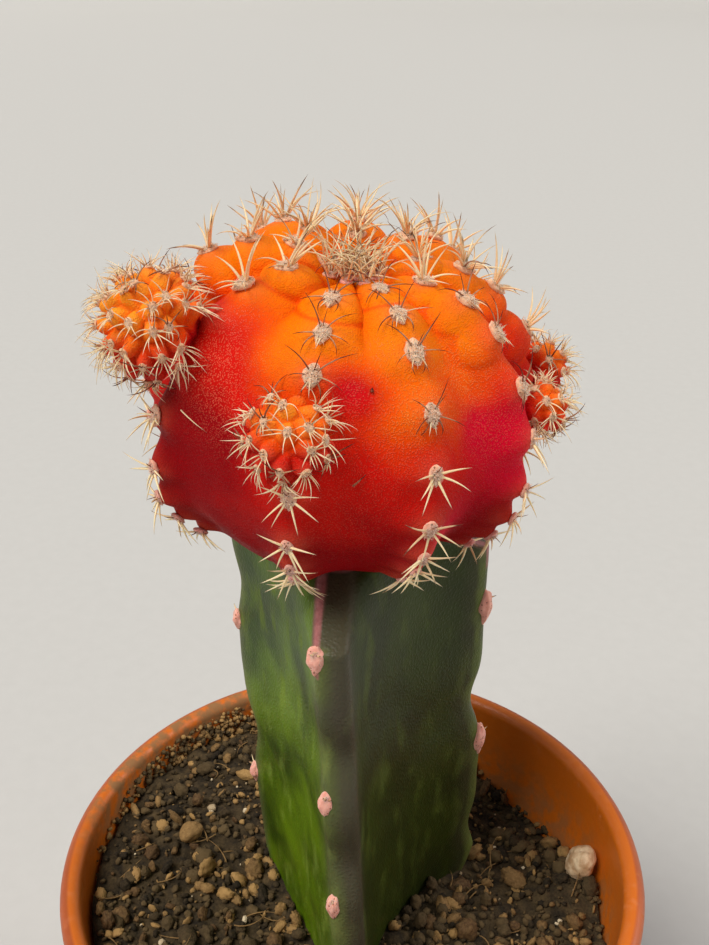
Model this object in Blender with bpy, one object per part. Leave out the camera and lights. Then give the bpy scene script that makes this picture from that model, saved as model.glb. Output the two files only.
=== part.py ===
"""Potted moon cactus: a ball cactus grafted on a three-winged stem, in a small nursery pot.

Metres, +Z up.  The origin is the middle of the pot's underside, -Y is the side that is looked at.
Azimuths are degrees from -Y towards +X, and latitudes are degrees on the ball, +90 at its crown.
"""

import math
import random

import bmesh
import bpy
from mathutils import Matrix, Vector, noise

MM = 0.001
GAP = 0.3 * MM                      # clearance between neighbouring pieces

# Pot
RIM_RADIUS = 42.5 * MM
POT_HEIGHT = 74.0 * MM
BEAD_RADIUS = 1.5 * MM              # rolled edge of the rim
COLLAR_HEIGHT = 13.0 * MM
COLLAR_STEP = 1.3 * MM              # how far the wall steps in under the collar
BASE_RADIUS = 29.5 * MM
WALL = 1.3 * MM
FLOOR = 1.8 * MM
DRAIN_HOLES = 6
DRAIN_RADIUS = 2.6 * MM
DRAIN_CIRCLE = 19.0 * MM
POT_SEGMENTS = 48
DRAIN_SEGMENTS = 12
BEAD_ANGLES = (180, 135, 90, 45, 0, -50)          # degrees, from the inside over the top
RIM_PLANE = POT_HEIGHT - BEAD_RADIUS

# Soil
SOIL_DEPTH = 7.0 * MM               # below the rim's plane, at the middle
SOIL_SLOPE = 3.4 * MM               # rise from the middle to the wall on the heaped side
HEAP_AZIMUTH = -105.0
SOIL_SWELLS = (                     # x, y, radius, and how high the soil swells or sinks there
    (25.0 * MM, 19.0 * MM, 17.0 * MM, -5.5 * MM),
    (35.0 * MM, 3.0 * MM, 7.0 * MM, 2.6 * MM),
)
SOIL_LUMPS = 0.9 * MM
LUMP_SCALE = 170.0                  # lumps to the metre
CRUMB_SCALE = 430.0
SOIL_WALL_LEVELS = (0.0, 20.0 * MM, 40.0 * MM)    # rings of the hidden side, above its floor
SOIL_WALL_GAP = 0.48 * MM           # the wall is faceted, so the gap to it is a little wider
SOIL_RINGS = 9
SOIL_SEGMENTS = 36

# Rootstock: wing 0 faces the front, 1 the right back, 2 the left back
STEM_TOP = RIM_PLANE + 55.6 * MM
STEM_FOOT = RIM_PLANE - 36.0 * MM
STEM_OFFSET_X = -1.0 * MM
WING_RADIUS = 20.0 * MM
FACE_RADIUS = 8.6 * MM              # from the axis to the middle of a slightly hollow face
FACE_LIMIT = 0.45                   # the same, as a share of the two wings' reach together
EDGE_HALF_WIDTH = 2.1 * MM          # the wings' blunt edges
EDGE_ROUND = 1.1 * MM
EDGE_SIDES = (-1.0, -0.6, 0.0, 0.6, 1.0)
FACE_STEPS = 7
STEM_LEVELS = 22
WING_AZIMUTHS = (-5.0, 109.0, 229.0)
STEM_TWIST = 7.0                    # degrees, from the top down to the soil
WING_TAPER = (0.02, -0.13, 0.30)    # share of the radius that each wing loses down to the soil
BURIED_SHRINK = 0.55                # and how much more of it below the soil
GRAFT_RADIUS = 9.0 * MM             # flat top that the ball is grafted on
BEVEL_DROP = 5.5 * MM               # how far the wings are bevelled down from it
NOTCH_DEPTH = 1.5 * MM              # scallops of the wings' edges
NOTCH_HEIGHT = 4.5 * MM
NOTCH_CENTRES = ((34.0, 17.0), (24.0, -2.0), (42.0, 17.0))   # mm above the rim's plane, each wing

# Scion: the ball
BALL_CENTRE = Vector((-1.1 * MM, 0.0, RIM_PLANE + 72.8 * MM))
BALL_SEMI_WIDTH = 22.0 * MM
BALL_SEMI_HEIGHT = 20.2 * MM
BALL_LEAN = 10.0                    # degrees, how far its axis leans
LEAN_AZIMUTH = 26.0
RIB_AZIMUTHS = (-13.0, 25.0, 64.0, 97.0, 137.0, 178.0, 220.0, 262.0, 298.0)
RIB_DEPTH = 1.8 * MM
CREASE_DEPTH = 0.9 * MM             # between one tubercle and the next
CREASE_WIDTH = 1.1 * MM
LOW_CREASE = 0.15                   # share of the crease that is left below the middle
CREASE_LATITUDE = 60.0              # the creases are deepest from here up
TUBERCLE_RISE = 1.6 * MM
TUBERCLE_SPREAD = 3.1 * MM
CROWN_SINK = 2.6 * MM
CROWN_SPREAD = 17.0                 # degrees
AREOLE_LATITUDES = (69.0, 56.0, 44.0, 27.0, 11.0, -5.0, -16.0, -25.0, -34.0)
RIB_SHIFTS = (-7.0, 0.0, -4.0, -1.0, -5.0, 1.0, -3.0, 2.0, -3.0)   # each rib's areoles, degrees
SPINE_ROWS = 6                      # rows of areoles that get their own cluster
RIB_COLUMNS = 6                     # mesh columns to a rib
BALL_ROWS = 26
BALL_TOP_LATITUDE = 86.0
BALL_LOW_LATITUDE = -62.0
FLAT_ROW_STEP = 0.05 * MM           # keeps the rows apart where the underside is cut flat

# Offsets: azimuth and latitude about the upright, distance from the ball's centre, radius, flattening
PUPS = {
    "pup_left": (-65.0, 30.0, 25.2 * MM, 5.7 * MM, 1.0),
    "pup_front": (-15.0, 12.0, 21.4 * MM, 4.7 * MM, 0.66),
    "pup_right_front": (78.0, 3.0, 23.3 * MM, 2.9 * MM, 1.0),
    "pup_right_back": (101.0, 6.0, 24.8 * MM, 3.0 * MM, 1.0),
}
PUP_LUMPS = 0.7 * MM
PUP_LUMP_SCALE = 420.0              # lumps to the metre

# Spine clusters
PAD_RADIUS = 1.05 * MM
PAD_DEPTH = 0.7 * MM
SPINE_LENGTH = 3.6 * MM
CROWN_SPLAY = 26.0                  # degrees between the skin's normal and the first row's spines
ROW_SPLAY = 8.0                     # more on each row down
MAX_SPLAY = 52.0
SPLAY_SCATTER = 6.0
PAD_TAPER = 0.7                     # top of a pad, as a share of its foot
CLUSTER_SPINES = 7
CLUSTER_ROOM = 4.2 * MM             # an offset grows over the clusters nearer to it than this
TUFT_RADIUS = 2.2 * MM
TUFT_SPINES = 12
TUFT_SPLAY = 25.0
TUFT_LIFT = 0.8 * MM

# Loose bits on the soil: x, y, semi-axes, tilt in degrees
LOOSE_BITS = {
    "white_pebble": (35.6 * MM, 4.5 * MM, (2.0 * MM, 2.5 * MM, 3.4 * MM), 20.0),
    "bark_chip_1": (-24.0 * MM, -17.0 * MM, (2.3 * MM, 1.6 * MM, 1.2 * MM), 15.0),
    "bark_chip_2": (-25.5 * MM, 8.0 * MM, (1.8 * MM, 2.4 * MM, 1.3 * MM), -20.0),
    "bark_chip_3": (14.0 * MM, -28.0 * MM, (2.6 * MM, 1.7 * MM, 1.2 * MM), 10.0),
}

# Colour, roughness, metallic
TERRACOTTA_PLASTIC = ((0.42, 0.11, 0.035), 0.50, 0.0)
PEAT = ((0.016, 0.011, 0.007), 0.95, 0.0)
STEM_GREEN = ((0.035, 0.055, 0.013), 0.50, 0.0)
SCION_ORANGE = ((0.80, 0.13, 0.012), 0.45, 0.0)
PUP_ORANGE = ((0.78, 0.16, 0.03), 0.50, 0.0)
SPINE_CREAM = ((0.55, 0.38, 0.22), 0.60, 0.0)
WHITE_STONE = ((0.42, 0.30, 0.19), 0.70, 0.0)
BARK = ((0.12, 0.075, 0.03), 0.90, 0.0)


# ---------------------------------------------------------------- helpers

def clear_scene():
    for old in list(bpy.data.objects):
        bpy.data.objects.remove(old, do_unlink=True)


def make_material(name, finish):
    colour, roughness, metallic = finish
    material = bpy.data.materials.new(name)
    material.use_nodes = True
    shader = material.node_tree.nodes["Principled BSDF"]
    shader.inputs["Base Color"].default_value = (*colour, 1.0)
    shader.inputs["Roughness"].default_value = roughness
    shader.inputs["Metallic"].default_value = metallic
    material.diffuse_color = (*colour, 1.0)
    return material


def make_object(name, bm, finish, smooth=True):
    """Turn a bmesh into a named object with its own material."""
    bmesh.ops.recalc_face_normals(bm, faces=bm.faces[:])
    mesh = bpy.data.meshes.new(name)
    bm.to_mesh(mesh)
    bm.free()
    if smooth:
        mesh.shade_smooth()
    piece = bpy.data.objects.new(name, mesh)
    bpy.context.scene.collection.objects.link(piece)
    if finish:
        mesh.materials.append(make_material(name, finish))
    return piece


def make_cutter(name, bm):
    cutter = make_object(name, bm, None)
    cutter.hide_render = True
    cutter.display_type = "WIRE"
    return cutter


def subtract(piece, cutter):
    cut = piece.modifiers.new("Cut by " + cutter.name, "BOOLEAN")
    cut.operation = "DIFFERENCE"
    cut.solver = "EXACT"
    cut.object = cutter


def rings_to_bmesh(rings):
    """Join rings of points into one closed skin, capped at both ends."""
    bm = bmesh.new()
    rows = [[bm.verts.new(point) for point in ring] for ring in rings]
    for lower, upper in zip(rows, rows[1:]):
        count = len(lower)
        for i in range(count):
            j = (i + 1) % count
            bm.faces.new((lower[i], lower[j], upper[j], upper[i]))
    for end in (rows[0], rows[-1]):
        centre = sum((vert.co for vert in end), Vector()) / len(end)
        hub = bm.verts.new(centre)
        for i, vert in enumerate(end):
            bm.faces.new((vert, end[(i + 1) % len(end)], hub))
    return bm


def compass(azimuth):
    """Unit vector in the level plane."""
    angle = math.radians(azimuth)
    return Vector((math.sin(angle), -math.cos(angle), 0.0))


def facing(normal):
    """Rotation that turns +Z to a normal, and keeps +Y as near to up as it can be."""
    side = Vector((0, 0, 1)).cross(normal)
    if side.length < 1e-6:
        side = Vector((1, 0, 0))
    side.normalize()
    up = normal.cross(side)
    return Matrix((side, up, normal)).transposed()


# ---------------------------------------------------------------- pot

def wall_radius(height):
    """Outer radius of the pot's tapered wall, under the collar."""
    share = height / POT_HEIGHT
    top = RIM_RADIUS - COLLAR_STEP
    return BASE_RADIUS + (top - BASE_RADIUS) * share


def inner_radius(height):
    return wall_radius(height) - WALL


def pot_profile():
    """Section of the pot, from the floor's middle up the inside, over the rim and down the outside."""
    collar_foot = POT_HEIGHT - COLLAR_HEIGHT
    points = [(0.0, FLOOR), (inner_radius(FLOOR), FLOOR)]
    points.append((inner_radius(collar_foot), collar_foot))
    bead_centre = RIM_RADIUS - BEAD_RADIUS
    for degrees in BEAD_ANGLES:
        angle = math.radians(degrees)
        height = RIM_PLANE + BEAD_RADIUS * math.sin(angle)
        points.append((bead_centre + BEAD_RADIUS * math.cos(angle), height))
    points.append((RIM_RADIUS - 1.0 * MM, RIM_PLANE - 2.2 * MM))
    points.append((RIM_RADIUS - 1.3 * MM, collar_foot + 0.6 * MM))
    points.append((wall_radius(collar_foot), collar_foot - 0.6 * MM))
    points.append((BASE_RADIUS + 0.8 * MM, 1.2 * MM))
    points.append((BASE_RADIUS - 0.2 * MM, 0.0))
    points.append((0.0, 0.0))
    return points


def make_pot():
    mesh = bpy.data.meshes.new("pot")
    points = pot_profile()
    edges = [(i, i + 1) for i in range(len(points) - 1)]
    mesh.from_pydata([(x, 0.0, z) for x, z in points], edges, [])
    mesh.materials.append(make_material("pot", TERRACOTTA_PLASTIC))
    pot = bpy.data.objects.new("pot", mesh)
    bpy.context.scene.collection.objects.link(pot)
    screw = pot.modifiers.new("Turned", "SCREW")
    screw.steps = POT_SEGMENTS
    screw.render_steps = POT_SEGMENTS
    screw.use_merge_vertices = True
    screw.merge_threshold = 0.00001
    screw.use_smooth_shade = True

    drains = bmesh.new()
    for i in range(DRAIN_HOLES):
        centre = compass(360.0 / DRAIN_HOLES * i) * DRAIN_CIRCLE + Vector((0, 0, FLOOR / 2))
        bmesh.ops.create_cone(drains, cap_ends=True, segments=DRAIN_SEGMENTS, radius1=DRAIN_RADIUS,
                              radius2=DRAIN_RADIUS, depth=FLOOR * 3, matrix=Matrix.Translation(centre))
    subtract(pot, make_cutter("drain_cutter", drains))
    return pot


# ---------------------------------------------------------------- rootstock

def wing_radius(wing, height):
    """Reach of one wing at a height: tapered, notched and bevelled under the ball."""
    depth = min(max((STEM_TOP - height) / (STEM_TOP - RIM_PLANE + SOIL_DEPTH), 0.0), 1.0)
    reach = WING_RADIUS * (1.0 - WING_TAPER[wing] * depth ** 1.5)
    for centre in NOTCH_CENTRES[wing]:
        away = (height - RIM_PLANE - centre * MM) / NOTCH_HEIGHT
        reach -= NOTCH_DEPTH * math.exp(-away * away)
    buried = max(RIM_PLANE - SOIL_DEPTH - height, 0.0) / (RIM_PLANE - SOIL_DEPTH - STEM_FOOT)
    reach *= 1.0 - BURIED_SHRINK * buried
    bevel = GRAFT_RADIUS + (STEM_TOP - height) * (WING_RADIUS - GRAFT_RADIUS) / BEVEL_DROP
    return min(reach, bevel)


def stem_section(height, grow=0.0):
    """One level section: three wings with blunt edges, and a hollow curve from each to the next."""
    twist = STEM_TWIST * (STEM_TOP - height) / (STEM_TOP - RIM_PLANE)
    tips = []
    for wing, azimuth in enumerate(WING_AZIMUTHS):
        outward = compass(azimuth + twist)
        across = compass(azimuth + twist + 90.0)
        tips.append((outward, across, wing_radius(wing, height)))
    points = []
    for wing, (outward, across, reach) in enumerate(tips):
        for side in EDGE_SIDES:
            points.append(outward * (reach - EDGE_ROUND * side ** 4) + across * EDGE_HALF_WIDTH * side)
        start = points[-1]
        next_outward, next_across, next_reach = tips[(wing + 1) % 3]
        end = next_outward * (next_reach - EDGE_ROUND) - next_across * EDGE_HALF_WIDTH
        middle = (outward + next_outward).normalized() * min(FACE_RADIUS, (reach + next_reach) * FACE_LIMIT)
        pull = middle * 2.0 - (start + end) / 2.0
        for step in range(1, FACE_STEPS):
            t = step / FACE_STEPS
            points.append(start * (1 - t) ** 2 + pull * 2.0 * t * (1 - t) + end * t * t)
    centre = Vector((STEM_OFFSET_X, 0.0, height))
    count = len(points)
    section = []
    for i, point in enumerate(points):
        along = points[(i + 1) % count] - points[i - 1]
        outward = along.cross(Vector((0, 0, 1))).normalized()
        section.append(centre + point + outward * grow)
    return section


def stem_heights():
    heights = [STEM_FOOT]
    for i in range(1, STEM_LEVELS):
        heights.append(STEM_FOOT + (STEM_TOP - BEVEL_DROP - STEM_FOOT) * i / (STEM_LEVELS - 1))
    heights.append(STEM_TOP - BEVEL_DROP * 0.4)
    heights.append(STEM_TOP)
    return heights


def make_rootstock():
    bm = rings_to_bmesh([stem_section(height) for height in stem_heights()])
    return make_object("rootstock", bm, STEM_GREEN)


def make_stem_cutter():
    """The stem a gap larger all round, which hollows the soil."""
    sections = [stem_section(height, GAP) for height in stem_heights()]
    for point in sections[0]:
        point.z -= GAP
    return make_cutter("stem_cutter", rings_to_bmesh(sections))


# ---------------------------------------------------------------- soil

def soil_height(x, y):
    """Top of the soil: lumpy, heaped against the wall on one side and hollow on the other."""
    place = Vector((x, y, 0.0))
    height = RIM_PLANE - SOIL_DEPTH
    height += SOIL_SLOPE * place.dot(compass(HEAP_AZIMUTH)) / inner_radius(RIM_PLANE)
    for swell_x, swell_y, radius, rise in SOIL_SWELLS:
        away = math.hypot(x - swell_x, y - swell_y) / radius
        height += rise * math.exp(-away * away)
    lumps = noise.noise(place * LUMP_SCALE) * SOIL_LUMPS
    crumbs = noise.noise(place * CRUMB_SCALE) * SOIL_LUMPS * 0.5
    return height + lumps + crumbs


def make_soil():
    rings = []
    for rise in SOIL_WALL_LEVELS:
        level = FLOOR + GAP + rise
        reach = inner_radius(level) - SOIL_WALL_GAP
        rings.append([compass(360.0 / SOIL_SEGMENTS * i) * reach + Vector((0, 0, level))
                      for i in range(SOIL_SEGMENTS)])
    for ring in range(SOIL_RINGS, 0, -1):
        row = []
        for i in range(SOIL_SEGMENTS):
            spoke = compass(360.0 / SOIL_SEGMENTS * i)
            edge = spoke * inner_radius(RIM_PLANE)
            reach = inner_radius(soil_height(edge.x, edge.y) - SOIL_LUMPS) - SOIL_WALL_GAP
            flat = spoke * reach * ring / SOIL_RINGS
            row.append(Vector((flat.x, flat.y, soil_height(flat.x, flat.y))))
        rings.append(row)
    return make_object("soil", rings_to_bmesh(rings), PEAT)


# ---------------------------------------------------------------- scion

def rib_phase(azimuth):
    """Nearest rib, and how far from its crest: 0 on the crest, 1 in the furrow."""
    best = None
    for rib, crest in enumerate(RIB_AZIMUTHS):
        away = (azimuth - crest + 180.0) % 360.0 - 180.0
        if best is None or abs(away) < abs(best[1]):
            best = (rib, away)
    rib, away = best
    step = 1 if away >= 0 else -1
    neighbour = RIB_AZIMUTHS[(rib + step) % len(RIB_AZIMUTHS)]
    half = abs((neighbour - RIB_AZIMUTHS[rib] + 180.0) % 360.0 - 180.0) / 2.0
    return rib, away, abs(away) / half


def ellipsoid_radius(latitude):
    angle = math.radians(latitude)
    return 1.0 / math.hypot(math.cos(angle) / BALL_SEMI_WIDTH, math.sin(angle) / BALL_SEMI_HEIGHT)


def areole_latitudes(rib):
    return [latitude + RIB_SHIFTS[rib] for latitude in AREOLE_LATITUDES]


def skin_radius(azimuth, latitude):
    """Distance of the ball's skin from its centre: furrows, tubercles, creases and the sunken crown."""
    radius = ellipsoid_radius(latitude)
    rib, away, phase = rib_phase(azimuth)
    fade = max(math.cos(math.radians(latitude)), 0.0) ** 0.5
    across = math.radians(away) * math.cos(math.radians(latitude)) * radius
    reaches = []
    for level in areole_latitudes(rib):
        along = math.radians(latitude - level) * radius
        reaches.append(math.hypot(across, along))
    reaches.sort()
    rise = TUBERCLE_RISE * math.exp(-(reaches[0] / TUBERCLE_SPREAD) ** 2)
    crease = CREASE_DEPTH * math.exp(-((reaches[1] - reaches[0]) / CREASE_WIDTH) ** 2)
    upward = min(max(latitude, 0.0), CREASE_LATITUDE) / CREASE_LATITUDE
    crease *= max(math.sin(math.radians(90.0 * upward)), LOW_CREASE)
    dimple = CROWN_SINK * math.exp(-((90.0 - latitude) / CROWN_SPREAD) ** 2)
    return radius + (rise - crease - RIB_DEPTH * phase ** 2) * fade - dimple


def direction(azimuth, latitude):
    angle = math.radians(latitude)
    return compass(azimuth) * math.cos(angle) + Vector((0, 0, math.sin(angle)))


def skin_point(azimuth, latitude, grow=0.0):
    """A point of the ball's skin, whose own axis leans a little to the front."""
    lean = Matrix.Rotation(math.radians(BALL_LEAN), 3, compass(LEAN_AZIMUTH + 90.0))
    return BALL_CENTRE + lean @ direction(azimuth, latitude) * (skin_radius(azimuth, latitude) + grow)


def skin_normal(azimuth, latitude):
    step = 3.0
    east = skin_point(azimuth + step, latitude) - skin_point(azimuth - step, latitude)
    north = skin_point(azimuth, latitude + step) - skin_point(azimuth, latitude - step)
    return east.cross(north).normalized()


def ball_columns():
    """Azimuths of the mesh columns: the same number to each rib, with one column on its crest."""
    columns = []
    for rib, crest in enumerate(RIB_AZIMUTHS):
        following = RIB_AZIMUTHS[(rib + 1) % len(RIB_AZIMUTHS)]
        width = (following - crest) % 360.0
        columns.extend(crest + width * i / RIB_COLUMNS for i in range(RIB_COLUMNS))
    return columns


def ball_rings(grow=0.0):
    graft = STEM_TOP + GAP - grow
    rings = []
    for row in range(BALL_ROWS + 1):
        latitude = BALL_TOP_LATITUDE + (BALL_LOW_LATITUDE - BALL_TOP_LATITUDE) * row / BALL_ROWS
        lowest = graft + FLAT_ROW_STEP * (BALL_ROWS - row)
        ring = []
        for azimuth in ball_columns():
            point = skin_point(azimuth, latitude, grow)
            point.z = max(point.z, lowest)
            ring.append(point)
        rings.append(ring)
    for point in rings[-1]:
        point.z = graft
    return rings


def make_scion():
    return make_object("scion", rings_to_bmesh(ball_rings()), SCION_ORANGE)


# ---------------------------------------------------------------- offsets

def pup_centre(name):
    azimuth, latitude, distance, _, _ = PUPS[name]
    return BALL_CENTRE + direction(azimuth, latitude) * distance


def make_pup(name, ball_cutter):
    """A small lumpy ball that grows from the skin of the big one."""
    _, _, _, radius, flattening = PUPS[name]
    centre = pup_centre(name)
    outward = (centre - BALL_CENTRE).normalized()
    bm = bmesh.new()
    bmesh.ops.create_icosphere(bm, subdivisions=3, radius=radius)
    for vert in bm.verts:
        vert.co += vert.normal * noise.noise(vert.co * PUP_LUMP_SCALE + centre * 50.0) * PUP_LUMPS
        vert.co.z *= flattening
    bmesh.ops.transform(bm, matrix=Matrix.Translation(centre) @ facing(outward).to_4x4(), verts=bm.verts)
    pup = make_object(name, bm, PUP_ORANGE)
    subtract(pup, ball_cutter)
    return pup


# ---------------------------------------------------------------- spine clusters

def spiky_pad(radius, depth, spines, length, splay, rng):
    """A low pad whose side faces are drawn out into spines, as one closed skin."""
    bm = bmesh.new()
    low = []
    high = []
    for i in range(spines):
        angle = 2.0 * math.pi * (i + 0.5) / spines
        low.append(bm.verts.new((radius * math.cos(angle), radius * math.sin(angle), 0.0)))
        top = radius * PAD_TAPER
        high.append(bm.verts.new((top * math.cos(angle), top * math.sin(angle), depth)))
    bm.faces.new(low[::-1])
    bm.faces.new(high)
    for i in range(spines):
        j = (i + 1) % spines
        middle = (low[i].co + low[j].co + high[i].co + high[j].co) / 4.0
        outward = Vector((middle.x, middle.y, 0.0)).normalized()
        lean = math.radians(splay + rng.uniform(-SPLAY_SCATTER, SPLAY_SCATTER))
        reach = length * rng.uniform(0.85, 1.1)
        tip = bm.verts.new(middle + (outward * math.sin(lean) + Vector((0, 0, math.cos(lean)))) * reach)
        corners = (low[i], low[j], high[j], high[i])
        for k in range(4):
            bm.faces.new((corners[k], corners[(k + 1) % 4], tip))
    return bm


def make_cluster(name, azimuth, latitude, splay, rng):
    normal = skin_normal(azimuth, latitude)
    place = skin_point(azimuth, latitude) + normal * GAP * 1.5
    bm = spiky_pad(PAD_RADIUS, PAD_DEPTH, CLUSTER_SPINES, SPINE_LENGTH, splay, rng)
    bmesh.ops.transform(bm, matrix=Matrix.Translation(place) @ facing(normal).to_4x4(), verts=bm.verts)
    return make_object(name, bm, SPINE_CREAM, smooth=False)


def grown_over(azimuth, latitude):
    """True where an offset leaves no room for a cluster."""
    place = skin_point(azimuth, latitude)
    for name, (_, _, _, radius, _) in PUPS.items():
        if (place - pup_centre(name)).length < radius + CLUSTER_ROOM:
            return True
    return False


def make_clusters():
    rng = random.Random(7)
    for rib, azimuth in enumerate(RIB_AZIMUTHS):
        for row, latitude in enumerate(areole_latitudes(rib)[:SPINE_ROWS]):
            splay = min(CROWN_SPLAY + ROW_SPLAY * row, MAX_SPLAY)
            if not grown_over(azimuth, latitude):
                make_cluster(f"spine_cluster_rib{rib + 1}_{row + 1}", azimuth, latitude, splay, rng)


def make_crown_tuft():
    rng = random.Random(11)
    bm = spiky_pad(TUFT_RADIUS, PAD_DEPTH, TUFT_SPINES, SPINE_LENGTH, TUFT_SPLAY, rng)
    place = skin_point(0.0, 90.0) + Vector((0, 0, TUFT_LIFT))
    bmesh.ops.transform(bm, matrix=Matrix.Translation(place), verts=bm.verts)
    return make_object("crown_tuft", bm, SPINE_CREAM, smooth=False)


# ---------------------------------------------------------------- loose bits

def bit_bmesh(name, grow=0.0):
    """A rounded, uneven bit that is sunk a little into the soil."""
    x, y, semi_axes, tilt = LOOSE_BITS[name]
    centre = Vector((x, y, soil_height(x, y) + semi_axes[2] * 0.6))
    turn = Matrix.Rotation(math.radians(tilt), 4, "Y") @ Matrix.Rotation(math.radians(tilt), 4, "X")
    bm = bmesh.new()
    bmesh.ops.create_icosphere(bm, subdivisions=2, radius=1.0)
    for vert in bm.verts:
        uneven = 1.0 + 0.12 * noise.noise(vert.co * 1.7 + Vector((x, y, 0.0)) * 900.0)
        vert.co = Vector([vert.co[k] * (semi_axes[k] * uneven + grow) for k in range(3)])
    bmesh.ops.transform(bm, matrix=Matrix.Translation(centre) @ turn, verts=bm.verts)
    return bm


def make_loose_bit(name, soil):
    finish = WHITE_STONE if name == "white_pebble" else BARK
    bit = make_object(name, bit_bmesh(name), finish)
    subtract(soil, make_cutter(name + "_cutter", bit_bmesh(name, GAP)))
    return bit


# ---------------------------------------------------------------- assembly

def main():
    clear_scene()
    make_pot()
    make_rootstock()
    soil = make_soil()
    subtract(soil, make_stem_cutter())
    for name in LOOSE_BITS:
        make_loose_bit(name, soil)
    make_scion()
    ball_cutter = make_cutter("ball_cutter", rings_to_bmesh(ball_rings(GAP)))
    for name in PUPS:
        make_pup(name, ball_cutter)
    make_clusters()
    make_crown_tuft()


main()
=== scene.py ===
# %% [markdown]
# # Potted moon cactus
# A moon cactus is two plants in one: a small ball cactus that has lost its green, grafted on the stem of a
# green climbing cactus that feeds it. This lesson builds the plant and its pot around a frame of plain
# solids that has the right sizes. Pieces are looked up there by name, so nothing has to be fitted later.

# %% Load the frame
import math

import bmesh
import bpy
import numpy as np
from mathutils import Matrix, Vector, noise


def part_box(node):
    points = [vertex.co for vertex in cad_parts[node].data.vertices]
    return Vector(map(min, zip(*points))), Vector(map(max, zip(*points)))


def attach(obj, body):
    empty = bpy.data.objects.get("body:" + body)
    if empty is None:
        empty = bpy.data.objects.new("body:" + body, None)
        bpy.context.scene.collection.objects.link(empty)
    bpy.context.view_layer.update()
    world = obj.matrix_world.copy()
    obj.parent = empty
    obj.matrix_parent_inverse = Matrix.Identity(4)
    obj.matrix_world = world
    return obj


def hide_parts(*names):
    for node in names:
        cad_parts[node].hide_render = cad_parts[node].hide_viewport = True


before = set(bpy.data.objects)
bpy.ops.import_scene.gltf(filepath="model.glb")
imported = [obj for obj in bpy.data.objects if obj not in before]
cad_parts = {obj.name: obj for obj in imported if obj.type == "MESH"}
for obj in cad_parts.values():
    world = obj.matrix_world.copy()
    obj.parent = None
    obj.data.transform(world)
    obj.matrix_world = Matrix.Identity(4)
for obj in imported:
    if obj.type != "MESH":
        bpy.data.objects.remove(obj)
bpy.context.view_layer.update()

# %% [markdown]
# ## Measures
# The pot's rim sets the width and its height sets where the plant starts. The ball leans a little to the
# front right, as grafted balls often do, and its nine ribs aren't quite evenly spaced. The lists are the
# plant's own growth: where each rib runs and how far its cushions of spines are shifted along it.

# %% Driving dimensions
MM = 0.001
POT_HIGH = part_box("pot")[1]
RIM_RADIUS = POT_HIGH.x
POT_HEIGHT = POT_HIGH.z
BEAD_RADIUS = 1.5 * MM
RIM_PLANE = POT_HEIGHT - BEAD_RADIUS
SOIL_PLANE = RIM_PLANE - 7.0 * MM
WALL = 1.3 * MM
FLOOR = 1.8 * MM
BASE_RADIUS = 29.5 * MM
COLLAR_HEIGHT = 13.0 * MM
COLLAR_STEP = 1.3 * MM

BALL_CENTRE = np.array([-1.1 * MM, 0.0, RIM_PLANE + 72.8 * MM])
BALL_SEMI_WIDTH = 22.0 * MM
BALL_SEMI_HEIGHT = 20.2 * MM
BALL_LEAN = 10.0
LEAN_AZIMUTH = 26.0
RIB_AZIMUTHS = np.array([-13.0, 25.0, 64.0, 97.0, 137.0, 178.0, 220.0, 262.0, 298.0])
RIB_SHIFTS = np.array([-7.0, 0.0, -4.0, -1.0, -5.0, 1.0, -3.0, 2.0, -3.0])
AREOLE_LATITUDES = np.array([69.0, 56.0, 44.0, 27.0, 11.0, -5.0, -16.0, -25.0, -34.0])
GRAFT_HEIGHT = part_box("scion")[0].z

# distances, radii and spine lengths of the offsets are in mm; blend is how far an offset shares the
# colour of the ball beside it
OFFSET_FACTS = ("azimuth", "latitude", "distance", "radius", "flattening", "cushions", "spine", "blend")
OFFSETS = {
    "pup_left": (-65.0, 30.0, 25.2, 5.7, 1.0, 52, 2.7, 0.1),
    "pup_front": (-14.5, 12.0, 21.4, 4.4, 0.66, 28, 2.5, 0.5),
    "pup_right_front": (78.0, 3.0, 23.3, 2.9, 1.0, 18, 2.4, 0.3),
    "pup_right_back": (101.0, 6.0, 24.8, 3.0, 1.0, 18, 2.7, 0.3),
}
OFFSETS = {name: dict(zip(OFFSET_FACTS, values)) for name, values in OFFSETS.items()}
print(f"pot {RIM_RADIUS * 2000:.1f} x {POT_HEIGHT * 1000:.1f} mm, graft at {GRAFT_HEIGHT * 1000:.1f} mm")

# %% [markdown]
# ## Points and meshes
# Most of this plant follows a rule, so its meshes are computed as arrays of points: a grid wrapped round
# an axis for the ball, the stem, the soil and the pot, and many small curved tubes for spines and wool.
# What a point knows about its place, such as how near a cushion is, is stored on it for the materials.

# %% Directions and noise
UP = np.array([0.0, 0.0, 1.0])


def compass(azimuth):
    """Level unit vectors, from azimuths in degrees from the front towards the right."""
    angle = np.radians(np.asarray(azimuth, float))
    return np.stack([np.sin(angle), -np.cos(angle), np.zeros_like(angle)], axis=-1)


def spokes(count):
    """Level unit vectors spread evenly round the axis."""
    return compass(np.arange(count) * 360.0 / count)


def direction(azimuth, latitude):
    up = np.radians(np.asarray(latitude, float))
    out = compass(azimuth) * np.cos(up)[..., None]
    out[..., 2] = np.sin(up)
    return out


def unit(vectors):
    return vectors / np.linalg.norm(vectors, axis=-1, keepdims=True)


def within(values):
    """Values kept between 0 and 1."""
    return np.clip(values, 0.0, 1.0)


def lumps(points, scale, seed=0.0):
    """Smooth noise at each point, between -1 and 1; scale is lumps to the metre."""
    shift = Vector((seed, seed * 1.7, -seed))
    return np.array([noise.noise(Vector(p) * scale + shift) for p in np.asarray(points).reshape(-1, 3)])


print("front, right and up:", compass(0.0), compass(90.0), UP)

# %% [markdown]
# A mesh is a list of points and a list of faces that number them. Rows of points that close round on
# themselves make most shapes here, with one face over each end.

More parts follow.
